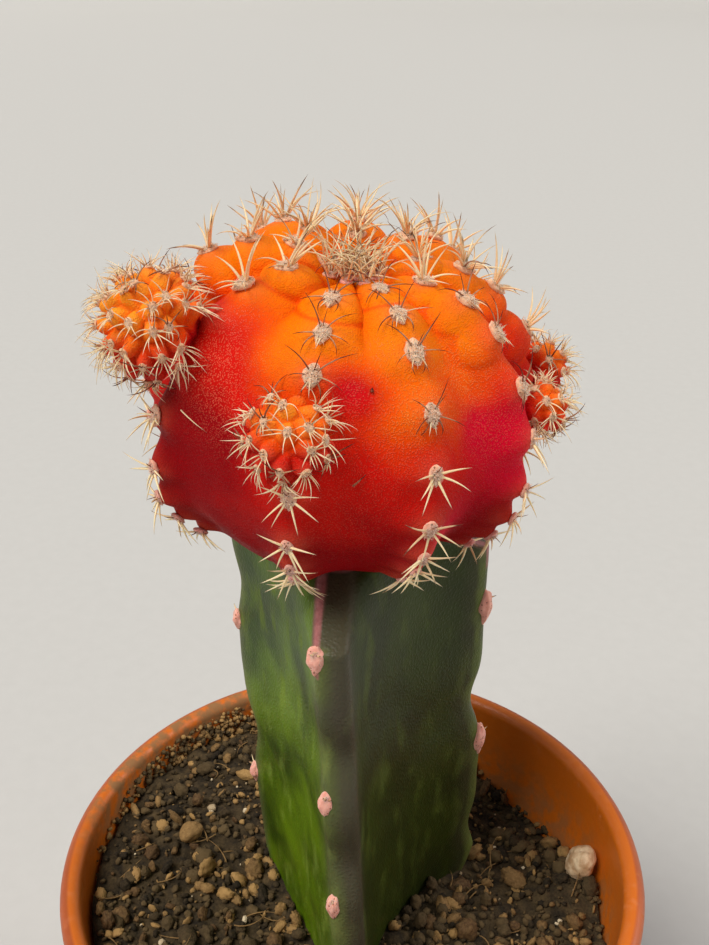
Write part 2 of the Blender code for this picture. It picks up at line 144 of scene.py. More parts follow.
# %% Meshes and pieces
def wrapped_faces(rows, columns):
    """Quads between rows of points that close round on themselves."""
    r, c = np.meshgrid(np.arange(rows - 1), np.arange(columns), indexing="ij")
    d = (c + 1) % columns
    quads = np.stack([r * columns + c, r * columns + d, (r + 1) * columns + d, (r + 1) * columns + c], -1)
    return quads.reshape(-1, 4).tolist()


def closed_faces(rows, columns):
    """The same, with one face over each end."""
    first = list(range(columns))[::-1]
    last = [(rows - 1) * columns + i for i in range(columns)]
    return wrapped_faces(rows, columns) + [first, last]


def spin(section, count):
    """Points of a section of (reach, height) corners, spun round the axis."""
    return np.concatenate([spokes(count) * reach + UP * height for reach, height in section])


def new_mesh(name, points, faces, material):
    mesh = bpy.data.meshes.new(name)
    mesh.from_pydata(np.asarray(points).reshape(-1, 3).tolist(), [], faces)
    mesh.shade_smooth()
    mesh.materials.append(material)
    return mesh


def add_object(name, data):
    thing = bpy.data.objects.new(name, data)
    bpy.context.scene.collection.objects.link(thing)
    return thing


def make_piece(name, points, faces, material, attributes, replaces=()):
    """A smooth mesh that rides on the root body, with numbers stored at each point."""
    mesh = new_mesh(name, points, faces, material)
    for label, values in attributes.items():
        layer = mesh.attributes.new(label, "FLOAT", "POINT")
        layer.data.foreach_set("value", np.asarray(values, np.float32).ravel())
    piece = add_object(name, mesh)
    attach(piece, "root")
    if replaces:
        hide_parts(*replaces)
    return piece


print("faces of a closed six-sided tube:", len(closed_faces(2, 6)))

# %% [markdown]
# Small bits, such as pads of wool and crumbs of soil, all start from one sphere of triangles. A crowd of
# them is made at once, as turned and stretched copies.

# %% Copies of one template
def ball_template(subdivisions):
    """Points and faces of a unit sphere of small triangles."""
    bm = bmesh.new()
    bmesh.ops.create_icosphere(bm, subdivisions=subdivisions, radius=1.0)
    points = np.array([vert.co[:] for vert in bm.verts])
    faces = np.array([[vert.index for vert in face.verts] for face in bm.faces])
    bm.free()
    return points, faces


def random_turns(count, rng):
    """Random rotations, as matrices."""
    w, x, y, z = unit(rng.normal(size=(count, 4))).T
    rows = [[1 - 2 * (y * y + z * z), 2 * (x * y - w * z), 2 * (x * z + w * y)],
            [2 * (x * y + w * z), 1 - 2 * (x * x + z * z), 2 * (y * z - w * x)],
            [2 * (x * z - w * y), 2 * (y * z + w * x), 1 - 2 * (x * x + y * y)]]
    return np.moveaxis(np.array(rows), -1, 0)


def scatter(template, turns, centres, sizes, rng, roughness=0.2):
    """Many turned and stretched copies of one template, each roughened a little differently."""
    points, faces = template
    count = len(centres)
    uneven = 1.0 + roughness * rng.uniform(-1.0, 1.0, (count, len(points), 1))
    copies = points[None] * uneven * sizes[:, None, :]
    copies = np.einsum("nij,npj->npi", turns, copies) + centres[:, None, :]
    all_faces = (faces[None] + (np.arange(count) * len(points))[:, None, None]).reshape(-1, faces.shape[1])
    return copies.reshape(-1, 3), all_faces.tolist()


print("faces of the templates:", [len(ball_template(detail)[1]) for detail in (2, 3, 4)])

# %% [markdown]
# ## Curved tubes
# A spine, a wool hair and a root fibre are all the same thing at different sizes: a thin tube that
# follows an arc and tapers. Blender's curves with a bevel could make them, but there are thousands, so one
# function works them all out together and closes each at both ends.

# %% Arc tubes
def arc_tubes(base, heading, bend, length, curl, radius, rings, sides, taper=1.6):
    """Tapered arcs, by start, direction and turning side. Gives points, faces and the way along."""
    count = len(base)
    curl = np.maximum(curl, 0.01)[:, None, None]
    along = np.linspace(0.0, 1.0, rings + 1)
    angle = curl * along[None, :, None]
    heading, bend = heading[:, None, :], bend[:, None, :]
    reach = np.asarray(length)[:, None, None] / curl
    line = base[:, None, :] + reach * (heading * np.sin(angle) + bend * (1.0 - np.cos(angle)))
    forward = heading * np.cos(angle) + bend * np.sin(angle)
    side = np.cross(heading, bend) + np.zeros_like(forward)
    up = np.cross(side, forward)
    thick = np.asarray(radius)[:, None] * (1.0 - 0.93 * along[None, :] ** taper)
    turn = np.linspace(0.0, 2.0 * np.pi, sides, endpoint=False)
    ring = side[:, :-1, None, :] * np.cos(turn)[:, None] + up[:, :-1, None, :] * np.sin(turn)[:, None]
    tube = line[:, :-1, None, :] + ring * thick[:, :-1, None, None]
    points = np.concatenate([tube.reshape(count, -1, 3), line[:, -1:, :]], axis=1)
    tip = rings * sides
    faces = wrapped_faces(rings, sides)
    faces += [[(rings - 1) * sides + i, (rings - 1) * sides + (i + 1) % sides, tip] for i in range(sides)]
    faces.append(list(range(sides))[::-1])
    step = tip + 1
    all_faces = [[index + k * step for index in face] for k in range(count) for face in faces]
    way = np.concatenate([np.repeat(along[:-1], sides), [1.0]])
    return points.reshape(-1, 3), all_faces, np.tile(way, count)


def join_parts(parts):
    """Several lots of points, faces and attributes as one."""
    points, faces, attributes, start = [], [], {}, 0
    for part_points, part_faces, part_attributes in parts:
        points.append(part_points)
        faces.extend([[index + start for index in face] for face in part_faces])
        for label, values in part_attributes.items():
            attributes.setdefault(label, []).append(values)
        start += len(part_points)
    return np.concatenate(points), faces, {label: np.concatenate(v) for label, v in attributes.items()}


print("arc tubes ready")

# %% [markdown]
# ## Shader helpers
# Colours are written on the everyday 0 to 255 scale and turned into the linear values that shaders use.
# Small functions add a node and link it, so that each material reads as a list of what it is made of.

# %% Colours and node recipes
def paint(red, green, blue):
    """A colour from the 0 to 255 scale, as linear light."""
    def linear(value):
        share = value / 255.0
        return share / 12.92 if share <= 0.04045 else ((share + 0.055) / 1.055) ** 2.4
    return (linear(red), linear(green), linear(blue), 1.0)


class Recipe:
    """Adds nodes to one tree. Each method gives a socket that later ones can use."""

    def __init__(self, tree, where=None):
        self.tree = tree
        self.where = where or self.node("TexCoord", {})["Object"]

    def feed(self, socket, value):
        """Link another node's output to a socket, or set the socket itself."""
        if isinstance(value, bpy.types.NodeSocket):
            self.tree.links.new(value, socket)
        else:
            socket.default_value = value

    def node(self, kind, values, **settings):
        """A node with its settings, fed by the name or number of each input. Gives its outputs."""
        node = self.tree.nodes.new("ShaderNode" + kind)
        for label, setting in settings.items():
            setattr(node, label, setting)
        for label, value in values.items():
            self.feed(node.inputs[label], value)
        return node.outputs

    def math(self, operation, *values):
        return self.node("Math", dict(enumerate(values)), operation=operation)[0]

    def mix(self, factor, first, second):
        return self.node("Mix", {0: factor, 6: first, 7: second}, data_type="RGBA")[2]

    def coat(self, colour, mask, strength, second):
        """A second colour laid over the first, as strongly as the mask says."""
        return self.mix(self.math("MULTIPLY", mask, strength), colour, second)

    def spread(self, value, low, high, out_low=0.0, out_high=1.0):
        """Map the range low..high smoothly to out_low..out_high."""
        limits = {"Value": value, "From Min": low, "From Max": high, "To Min": out_low, "To Max": out_high}
        return self.node("MapRange", limits, interpolation_type="SMOOTHSTEP")[0]

    def stored(self, label):
        """A number stored on the mesh."""
        return self.node("Attribute", {}, attribute_name=label)["Fac"]

    def noise(self, scale, detail=3.0):
        values = {"Vector": self.where, "Scale": scale, "Detail": detail, "Roughness": 0.55}
        return self.node("TexNoise", values)[0]

    def group(self, group, **values):
        """Place a group, with its own values, and give its one output."""
        return self.node("Group", {"Vector": self.where, **values}, node_tree=group)[0]

    def bump(self, shader, height, distance):
        self.feed(shader["Normal"], self.node("Bump", {"Height": height, "Distance": distance})[0])


print("red of the middle of the scale, in linear light:", round(paint(128, 128, 128)[0], 3))

# %% [markdown]
# A material here is Blender's Principled shader with its constants set on its own sockets, and colours,
# roughness and bumps that vary over the surface linked in. A group is a small tree of its own with named
# sockets, which a material places like one node.

# %% Materials and groups
def new_group(name, output, **inputs):
    """An empty shader group, with a vector and numbers as inputs and one number as output."""
    tree = bpy.data.node_groups.new(name, "ShaderNodeTree")
    tree.interface.new_socket("Vector", in_out="INPUT", socket_type="NodeSocketVector")
    for label, default in inputs.items():
        socket = tree.interface.new_socket(label, in_out="INPUT", socket_type="NodeSocketFloat")
        socket.default_value = default
    tree.interface.new_socket(output, in_out="OUTPUT", socket_type="NodeSocketFloat")
    given = tree.nodes.new("NodeGroupInput").outputs
    return Recipe(tree, given["Vector"]), given, tree.nodes.new("NodeGroupOutput").inputs[0]


def new_material(name, **constants):
    """A material, the recipe of its nodes and the sockets of its Principled shader."""
    material = bpy.data.materials.new(name)
    material.use_nodes = True
    shader = material.node_tree.nodes["Principled BSDF"].inputs
    for label, value in constants.items():
        shader[label.replace("_", " ")].default_value = value
    return material, Recipe(material.node_tree), shader


print("material helpers ready")

# %% [markdown]
# ## Shared effects
# Three effects turn up in several materials. **Grain** is the fine pebbling of plant skin and of earth: a
# Voronoi texture gives rounded cells that touch, as the skin's own cells do. **Patches** are broad soft
# blotches, for bloom, dust and uneven colour. **Specks** are small scattered dots, such as soil splashed on
# the pot. Each is a node group that puts out only masks and heights.

# %% Grain, patches and specks
def build_grain_group():
    make, given, height = new_group("Grain", "Height", Scale=1000.0)
    wander = make.noise(700.0, detail=1.0)
    shift = (0.0006, 0.0006, 0.0006)
    shifted = make.node("VectorMath", {0: wander, 1: shift, 2: given["Vector"]},
                       operation="MULTIPLY_ADD")[0]
    cells = make.node("TexVoronoi", {"Vector": shifted, "Scale": given["Scale"], "Smoothness": 0.35},
                     feature="SMOOTH_F1")
    make.feed(height, make.spread(cells["Distance"], 0.0, 0.7, 1.0, 0.0))
    return make.tree


def build_patch_group():
    make, given, mask = new_group("Patches", "Mask", Scale=100.0, Start=0.45, Full=0.7)
    broad = make.noise(given["Scale"], detail=4.0)
    make.feed(mask, make.spread(broad, given["Start"], given["Full"]))
    return make.tree


def build_speck_group():
    make, given, mask = new_group("Specks", "Mask", Scale=300.0, Size=0.2, Share=0.3)
    cells = make.node("TexVoronoi", {"Vector": given["Vector"], "Scale": given["Scale"]})
    dot = make.math("LESS_THAN", cells["Distance"], given["Size"])
    chance = make.node("SeparateColor", {0: cells["Color"]})[0]
    kept = make.math("LESS_THAN", chance, given["Share"])
    make.feed(mask, make.math("MULTIPLY", dot, kept))
    return make.tree


GRAIN = build_grain_group()
PATCHES = build_patch_group()
SPECKS = build_speck_group()
print("groups:", [group.name for group in (GRAIN, PATCHES, SPECKS)])

# %% [markdown]
# ## Skin of the ball
# The ball has no green at all. Its skin is orange where it is young and high, and turns through red to a
# deep wine red towards the underside, with a magenta flush on its flanks. The colours run into each other
# in soft blotches, so the mesh carries how red and how magenta each spot is, and noise breaks up the edge.
# A deeper orange is painted into the furrows and creases as painted shade, and pale painted highlights on
# the peaks of the fine grain stand in for its glints. Some light scatters inside the flesh.

# %% Skin material
ORANGE_TOP = paint(244, 125, 0)
ORANGE_DEEP = paint(236, 78, 0)
FLESH_RED = paint(206, 18, 6)
WINE_RED = paint(140, 0, 8)
MAGENTA = paint(220, 0, 44)
BLUSH_AND_GLINT_PINK = paint(246, 112, 84)
GLINT_PEACH = paint(255, 184, 96)


def make_skin(name, grain_scale, orange):
    material, make, shader = new_material(
        name, Roughness=0.5, Specular_IOR_Level=0.06, Subsurface_Weight=0.15, Subsurface_Scale=0.0016,
        Subsurface_Radius=(1.0, 0.2, 0.05), Coat_Roughness=0.25)
    grain = make.group(GRAIN, Scale=grain_scale)
    blotch = make.group(PATCHES, Scale=150.0, Start=0.25, Full=0.75)
    sway = make.math("MULTIPLY_ADD", blotch, 0.24, -0.12)
    red = make.math("ADD", make.stored("red"), sway)
    colour = make.mix(make.spread(red, 0.0, 0.5), orange, ORANGE_DEEP)
    # painted shade: a deeper orange in the furrows and creases
    colour = make.coat(colour, make.stored("furrow"), 0.8, ORANGE_DEEP)
    colour = make.mix(make.spread(red, 0.35, 0.85), colour, FLESH_RED)
    colour = make.mix(make.spread(red, 0.85, 1.5), colour, WINE_RED)
    magenta = make.math("ADD", make.stored("magenta"), sway)
    colour = make.mix(make.spread(magenta, 0.15, 0.85, 0.0, 0.9), colour, MAGENTA)
    uneven = make.spread(blotch, 0.0, 0.6, 0.35, 1.0)
    colour = make.coat(colour, make.stored("halo"), uneven, BLUSH_AND_GLINT_PINK)
    # painted highlight: pale glints on the grain's peaks, as strong as the stored painted glint says
    glint = make.spread(grain, 0.12, 0.8, 0.0, 0.6)
    glint_colour = make.mix(make.spread(red, 0.2, 0.7), GLINT_PEACH, BLUSH_AND_GLINT_PINK)
    colour = make.coat(colour, glint, make.stored("painted_glint"), glint_colour)
    make.feed(shader["Base Color"], colour)
    make.feed(shader["Roughness"], make.spread(grain, 0.2, 0.9, 0.6, 0.42))
    make.feed(shader["Coat Weight"], make.spread(grain, 0.5, 1.0, 0.0, 0.16))
    make.bump(shader, grain, 0.00007)
    return material


SKIN = make_skin("ball_skin", 5200.0, ORANGE_TOP)
OFFSET_SKIN = make_skin("offset_skin", 4600.0, paint(255, 160, 36))
print("skins:", SKIN.name, OFFSET_SKIN.name)

# %% [markdown]
# ## Shape of the ball
# One could sculpt the ball, but its shape has a rule: an ellipsoid, drawn in softly along the furrow
# between each two ribs and sunk at the growing point, with a swelling called a tubercle under each
# cushion. Old tubercles are low and run into each other. Young ones, round the crown, are full domes that
# meet in crisp creases. So the distance from the centre is a function of direction.

# %% Furrows, swellings and domes
FURROW_DEPTHS = np.array([0.7, 1.4, 2.0, 2.0, 2.0, 2.0, 2.0, 1.9, 0.3]) * MM      # right of each rib
CROWN_FURROW = 1.9 * MM
SWELLINGS = np.array([0.6, 1.2, 1.2, 1.0, 1.1, 1.5, 1.8, 1.7, 1.5]) * MM           # by cushion, top down
SWELLING_SPREADS = np.array([2.6, 3.0, 3.2, 3.4, 3.2, 2.7, 2.4, 2.2, 2.0]) * MM
RIB_SWELLINGS = np.array([0.9, 1.0, 1.5, 1.5, 1.3, 1.3, 1.3, 1.5, 1.5])            # as a share
CHIN = 1.5
DOMED_CUSHIONS = np.array([1, 1, 3, 4, 4, 4, 3, 3, 1])                             # on each rib
DOME_HEIGHTS = np.array([1.2, 1.2, 1.3, 2.0, 2.5, 2.5, 2.8, 3.8, 2.6]) * MM
DOME_RADIUS = 4.0 * MM
DOME_WIDTH, DOME_DROP = 0.82, 0.7 * MM
CREASE_WIDTH = 0.12
YOUNG_LATITUDES = (40.0, 62.0)                 # between them furrows turn into creases
CROWN_SINK = 3.4 * MM
CROWN_SPREAD = 24.0
SKIN_INSET = 0.3 * MM
print("tallest dome:", round(DOME_HEIGHTS.max() * 1000, 1), "mm")


# %% Lean and blends
def lean_matrix():
    axis = Vector(compass(LEAN_AZIMUTH + 90.0))
    return np.array(Matrix.Rotation(math.radians(BALL_LEAN), 3, axis))


LEAN = lean_matrix()


def smooth_step(values, low, high):
    share = within((values - low) / (high - low))
    return share * share * (3.0 - 2.0 * share)


def rib_gap(rib, step):
    """Angle from a rib to its neighbour on one side."""
    away = RIB_AZIMUTHS[(rib + step) % len(RIB_AZIMUTHS)] - RIB_AZIMUTHS[rib]
    return np.abs((away + 180.0) % 360.0 - 180.0)


print("gaps between ribs:", [round(float(rib_gap(rib, 1))) for rib in range(len(RIB_AZIMUTHS))])


# %% The ball's surface as a function
def skin_facts(azimuth, latitude):
    """Distance of the skin from the ball's centre, with the furrow, cushion and crease facts there."""
    angle = np.radians(latitude)
    radius = 1.0 / np.hypot(np.cos(angle) / BALL_SEMI_WIDTH, np.sin(angle) / BALL_SEMI_HEIGHT)
    away = (azimuth[:, None] - RIB_AZIMUTHS[None, :] + 180.0) % 360.0 - 180.0
    rib = np.argmin(np.abs(away), axis=1)
    near = away[np.arange(len(rib)), rib]
    half = np.where(near >= 0.0, rib_gap(rib, 1), rib_gap(rib, -1)) / 2.0
    phase = np.abs(near) / half
    depth = FURROW_DEPTHS[np.where(near >= 0.0, rib, rib - 1)]
    young = smooth_step(latitude, *YOUNG_LATITUDES)
    furrow = (1.0 - np.cos(np.pi * phase)) / 2.0 * (1.0 - young) * depth
    furrow += phase ** 3 * young * CROWN_FURROW
    across = np.radians(near) * np.cos(angle) * radius
    levels = AREOLE_LATITUDES[None, :] + RIB_SHIFTS[rib][:, None]
    along = np.radians(latitude[:, None] - levels) * radius[:, None]
    along = np.where(along < 0.0, along * CHIN, along + 0.0)
    reach = np.hypot(across[:, None], along)
    swelling = np.sum(SWELLINGS * np.exp(-(reach / SWELLING_SPREADS) ** 2), axis=1) * RIB_SWELLINGS[rib]
    domed = np.arange(len(AREOLE_LATITUDES))[None, :] < DOMED_CUSHIONS[rib][:, None]
    inner = np.hypot(across[:, None] * DOME_WIDTH, along + DOME_DROP) / DOME_RADIUS
    dome = np.where(domed, np.sqrt(within(1.0 - inner ** 2)), 0.0).max(axis=1)
    crease = np.where(domed, np.exp(-((inner - 1.0) / CREASE_WIDTH) ** 2), 0.0).max(axis=1) * (dome < 0.45)
    lift = np.maximum(DOME_HEIGHTS[rib] * dome, swelling)
    fade = np.sqrt(within(np.cos(angle)))
    sink = CROWN_SINK * np.exp(-((90.0 - latitude) / CROWN_SPREAD) ** 2)
    return radius - SKIN_INSET + (lift - furrow) * fade - sink, phase, reach.min(axis=1), crease


def skin_points(azimuth, latitude):
    azimuth, latitude = np.atleast_1d(azimuth).astype(float), np.atleast_1d(latitude).astype(float)
    radius = skin_facts(azimuth, latitude)[0]
    return BALL_CENTRE + (direction(azimuth, latitude) @ LEAN.T) * radius[:, None]


def skin_frames(azimuth, latitude):
    """Place, outward normal and the way up along the skin, for each direction."""
    azimuth, latitude = np.atleast_1d(azimuth).astype(float), np.atleast_1d(latitude).astype(float)
    step = 3.0
    east = skin_points(azimuth + step, latitude) - skin_points(azimuth - step, latitude)
    north = skin_points(azimuth, latitude + step) - skin_points(azimuth, latitude - step)
    normal = unit(np.cross(east, north))
    up = unit(north - normal * np.sum(north * normal, axis=1, keepdims=True))
    return skin_points(azimuth, latitude), normal, up


print("skin radius on a crest and in a furrow:",
      [round(float(skin_facts(np.array([a]), np.array([0.0]))[0][0]) * 1000, 2) for a in (-13.0, 6.0)])

# %% [markdown]
# ## Colour zones of the ball
# A zone is a soft round patch about one direction on the ball: how far it reaches and how strongly it
# colours. They are listed one by one: the flushed left shoulder, the magenta right flank, a pink patch
# beside the front cushions, and the underside, which follows the height instead.

# %% Colour zones
RED_LATITUDES = (-45.0, -25.0, -8.0, 4.0, 14.0, 30.0, 50.0)
RED_STRENGTHS = (1.7, 1.35, 1.05, 0.72, 0.42, 0.22, 0.0)
# each zone: azimuth, latitude and reach in degrees, strength
RED_ZONES = (
    (-63, 38, 10, 0.75), (-40, 38, 13, 0.45), (-64, 10, 24, 0.9), (-38, 10, 15, 0.7), (2, 24, 9, 0.6),
    (-6, 8, 12, 0.2), (76, 28, 12, 0.3), (56, 10, 16, 0.35), (84, 6, 20, 0.3), (150, 8, 30, 0.5),
    (-130, 12, 34, 0.6),
)
MAGENTA_ZONES = (
    (60, -1, 16, 0.95), (44, 9, 10, 0.6), (78, -8, 16, 0.7), (-63, 41, 7, 0.8), (2, 25, 8, 0.4),
    (36, -28, 15, 0.6), (165, -6, 26, 0.6), (-104, 2, 17, 0.5),
)
# each glint zone places painted highlights on the grain: azimuth, latitude and reach in degrees, strength
PAINTED_GLINT_ZONES = (
    (-44, 30, 13, 1.0), (-34, 16, 12, 0.5), (4, 27, 8, 0.6), (40, 24, 12, 0.6), (20, 12, 14, 0.5),
    (64, 20, 12, 0.6), (50, 4, 12, 0.4), (120, 25, 30, 0.4), (-150, 25, 30, 0.4), (0, -12, 20, 0.25),
)


def zone_strength(outward, zones):
    total = np.zeros(len(outward))
    for azimuth, latitude, reach, strength in zones:
        cosine = np.clip(outward @ direction(azimuth, latitude), -1.0, 1.0)
        total += strength * np.exp(-(np.degrees(np.arccos(cosine)) / reach) ** 2)
    return total


def skin_zones(points):
    """How red and magenta the ball is at each point, and how strong its painted glints are, by direction
    from its centre.
    """
    outward = unit(points - BALL_CENTRE)
    latitude = np.degrees(np.arcsin(outward[:, 2]))
    red = zone_strength(outward, RED_ZONES) + np.interp(latitude, RED_LATITUDES, RED_STRENGTHS)
    return red, zone_strength(outward, MAGENTA_ZONES), zone_strength(outward, PAINTED_GLINT_ZONES)


print("zones:", len(RED_ZONES), "red,", len(MAGENTA_ZONES), "magenta,", len(PAINTED_GLINT_ZONES), "painted_glint")

# %% [markdown]
# The grid has the same number of columns for each rib, so its lines run along crests and furrows. The two
# ends are closed with single faces: one hides in the crown's wool, the other is the flat of the graft.

# %% Build the ball
COLUMNS_PER_RIB = 44
BALL_ROWS = 232
TOP_LATITUDE, LOW_LATITUDE = 88.5, -64.0
CROWN_SAG = 0.6 * MM


def rib_columns():
    columns = []
    for rib, crest in enumerate(RIB_AZIMUTHS):
        width = (RIB_AZIMUTHS[(rib + 1) % len(RIB_AZIMUTHS)] - crest) % 360.0
        columns.extend(crest + width * i / COLUMNS_PER_RIB for i in range(COLUMNS_PER_RIB))
    return np.array(columns)


def build_ball():
    columns = rib_columns()
    levels = np.linspace(TOP_LATITUDE, LOW_LATITUDE, BALL_ROWS)
    latitude, azimuth = np.meshgrid(levels, columns, indexing="ij")
    azimuth, latitude = azimuth.ravel(), latitude.ravel()
    radius, phase, reach, crease = skin_facts(azimuth, latitude)
    outward = direction(azimuth, latitude) @ LEAN.T
    radius = radius + lumps(outward, 3.2, 3.0) * 0.45 * MM + lumps(outward, 9.0, 9.0) * 0.12 * MM
    points = BALL_CENTRE + outward * radius[:, None]
    sag = np.linspace(CROWN_SAG, 0.0, BALL_ROWS).repeat(len(columns))
    points[:, 2] = np.maximum(points[:, 2], GRAFT_HEIGHT + sag)
    red, magenta, painted_glint = skin_zones(points)
    halo = np.exp(-(reach / (1.7 * MM)) ** 2) * 0.4
    # painted shade mask: deeper orange in the middle of each furrow and along the crown's creases
    furrow = within(phase ** 6 * 0.6 + crease * 0.9)
    faces = [face[::-1] for face in closed_faces(BALL_ROWS, len(columns))]
    values = {"red": red, "magenta": magenta, "painted_glint": painted_glint, "halo": halo, "furrow": furrow}
    return make_piece("ball_flesh", points, faces, SKIN, values, ["scion"])


BALL = build_ball()
print("ball faces:", len(BALL.data.polygons))

# %% [markdown]
# ## Wool and spines
# Each tubercle carries an areole, a small cushion of cream wool from which the spines grow. Hair particles
# would be the usual way to make wool, but a hundred short curled tubes on a low pad hold up close to the
# camera and export as plain mesh. Spines come in three ages: long and curly at the crown, thin and dark
# above the middle, stout and pale below.

# %% Wool and spine materials
def make_wool_material():
    material, make, shader = new_material(
        "wool", Roughness=0.85, Specular_IOR_Level=0.15, Subsurface_Weight=0.6, Subsurface_Scale=0.0005,
        Subsurface_Radius=(1.0, 0.8, 0.65))
    tint = make.group(PATCHES, Scale=1600.0, Start=0.35, Full=0.7)
    cream = make.mix(tint, paint(222, 174, 134), paint(246, 206, 168))
    cream = make.coat(cream, make.stored("hair"), 0.85, paint(255, 228, 194))
    colour = make.mix(make.stored("pink"), cream, paint(234, 152, 156))
    dark = make.group(SPECKS, Scale=3000.0, Size=0.34, Share=0.2)
    colour = make.coat(colour, dark, 0.7, paint(104, 56, 34))
    make.feed(shader["Base Color"], colour)
    make.bump(shader, make.noise(9000.0, detail=2.0), 0.00005)
    return material


def make_spine_material():
    material, make, shader = new_material(
        "spine_horn", Roughness=0.5, Specular_IOR_Level=0.25, Subsurface_Weight=0.6,
        Subsurface_Scale=0.0004, Subsurface_Radius=(1.0, 0.8, 0.6))
    way = make.stored("way")
    ribbing = make.noise(4200.0, detail=2.0)
    body = make.mix(ribbing, paint(244, 206, 154), paint(255, 234, 196))
    dark = make.stored("dark")
    body = make.mix(dark, body, paint(112, 46, 18))
    edge = make.math("MULTIPLY_ADD", dark, -0.35, 0.72)
    tip = make.spread(make.math("SUBTRACT", way, edge), 0.0, 0.25)
    colour = make.coat(body, tip, make.spread(dark, 0.0, 0.5, 0.35, 1.0), paint(50, 18, 8))
    make.feed(shader["Base Color"], colour)
    make.bump(shader, ribbing, 0.00003)
    return material


WOOL = make_wool_material()
SPINE = make_spine_material()
print("materials:", WOOL.name, SPINE.name)

# %% [markdown]
# A cushion needs to know where it sits and which way is up along the rib. The spines are given as a
# pattern of angles round the cushion, clockwise from the way up, with a length, a lift off the skin and a
# curl, and every spine strays a little from its pattern.

# %% Spine patterns
# each spine: angle, length in mm, lift in degrees, curl in radians, base radius in mm, darkness
CURLY_SPINES = (
    (-30, 5.8, 74, 1.1, 0.11, 0.2), (35, 5.4, 70, 1.3, 0.11, 0.25), (-85, 5.0, 66, 1.0, 0.12, 0.15),
    (88, 5.0, 64, 1.1, 0.12, 0.2), (-140, 4.6, 62, 0.9, 0.12, 0.1), (150, 4.4, 62, 0.9, 0.12, 0.15),
    (10, 4.6, 82, 0.8, 0.09, 0.45), (-60, 4.2, 74, 1.9, 0.085, 0.5),
)
FAN_SPINES = (
    (-14, 5.6, 66, 0.45, 0.17, 0.15), (20, 5.8, 60, 0.45, 0.17, 0.15), (-46, 5.2, 58, 0.5, 0.16, 0.1),
    (54, 5.2, 58, 0.5, 0.16, 0.1), (-90, 4.4, 50, 0.6, 0.15, 0.1), (94, 4.4, 50, 0.6, 0.15, 0.15),
    (-150, 3.2, 46, 0.8, 0.12, 0.25), (156, 3.2, 46, 0.8, 0.12, 0.2), (2, 4.4, 80, 0.5, 0.14, 0.2),
)
UPPER_SPINES = (
    (-34, 4.9, 34, 0.75, 0.085, 0.85), (6, 2.6, 52, 0.4, 0.07, 0.95), (36, 4.8, 34, 0.75, 0.085, 0.85),
    (96, 3.4, 24, 0.5, 0.08, 0.7), (-102, 3.0, 20, 1.1, 0.08, 0.75), (132, 2.8, 20, 1.4, 0.085, 0.75),
    (-138, 2.8, 20, 1.5, 0.085, 0.75), (-162, 1.9, 22, 0.6, 0.08, 0.2), (172, 2.1, 20, 0.5, 0.08, 0.2),
)
LOWER_SPINES = (
    (-58, 4.0, 26, 0.45, 0.125, 0.15), (62, 4.2, 26, 0.45, 0.125, 0.15), (-108, 4.3, 28, 0.35, 0.14, 0.0),
    (110, 4.5, 28, 0.35, 0.14, 0.0), (-150, 4.0, 32, 0.3, 0.135, 0.0), (150, 4.1, 32, 0.3, 0.135, 0.0),
    (6, 2.0, 50, 0.5, 0.07, 0.9),
)
print("spines of the oldest cushions:", len(LOWER_SPINES), "and of the youngest:", len(FAN_SPINES))

# %% [markdown]
# A spine leaves the skin along its pattern's angle, bends back towards the skin, and splays away from its
# neighbours, so that the upper two of a cushion stand like horns.

# %% Spines of a cushion
SPLAY = 0.9
ROOT_RING, ROOT_LIFT = 0.45 * MM, 0.18 * MM           # where spines leave a cushion
SPINE_RINGS, SPINE_SIDES = 8, 6


def grow_spines(place, normal, up, pattern, stretch, rng):
    """The spines of one cushion, as tube inputs."""
    right = np.cross(up, normal)
    rows = []
    for angle, length, lift, curl, radius, dark in pattern:
        turn = math.radians(angle + rng.normal(0.0, 9.0))
        rise = math.radians(lift + rng.normal(0.0, 7.0))
        tangent = up * math.cos(turn) + right * math.sin(turn)
        heading = tangent * math.cos(rise) + normal * math.sin(rise)
        inward = tangent * math.sin(rise) - normal * math.cos(rise)
        swing = rng.normal(0.0, 0.4) - SPLAY * math.sin(turn)
        bend = inward * math.cos(swing) + np.cross(heading, inward) * math.sin(swing)
        start = place + tangent * ROOT_RING + normal * ROOT_LIFT
        rows.append((start, heading, bend, length * MM * stretch * rng.uniform(0.82, 1.12),
                     curl * rng.uniform(0.6, 1.6), radius * MM * rng.uniform(0.9, 1.2),
                     min(max(dark + rng.normal(0.0, 0.12), 0.0), 1.0)))
    return rows


def spine_mesh(rows):
    base, heading, bend, length, curl, radius, dark = (np.array(column) for column in zip(*rows))
    points, faces, way = arc_tubes(base, heading, bend, length, curl, radius, SPINE_RINGS, SPINE_SIDES)
    return points, faces, {"way": way, "dark": dark.repeat(SPINE_RINGS * SPINE_SIDES + 1)}


print("spine functions ready")

# %% [markdown]
# The wool is a low pad shaped like a drop, broad above and narrow below, with curled hairs set all over it.
# Both are built flat about the origin, then turned to the skin's own right, up and outward directions.

# %% Wool of a cushion
PAD_TEMPLATE = ball_template(3)
WOOL_HAIRS = 110
HAIR_RADIUS = 0.034 * MM


def wool_part(points, faces, pink, hair):
    return points, faces, {"pink": np.full(len(points), pink), "hair": np.full(len(points), hair)}


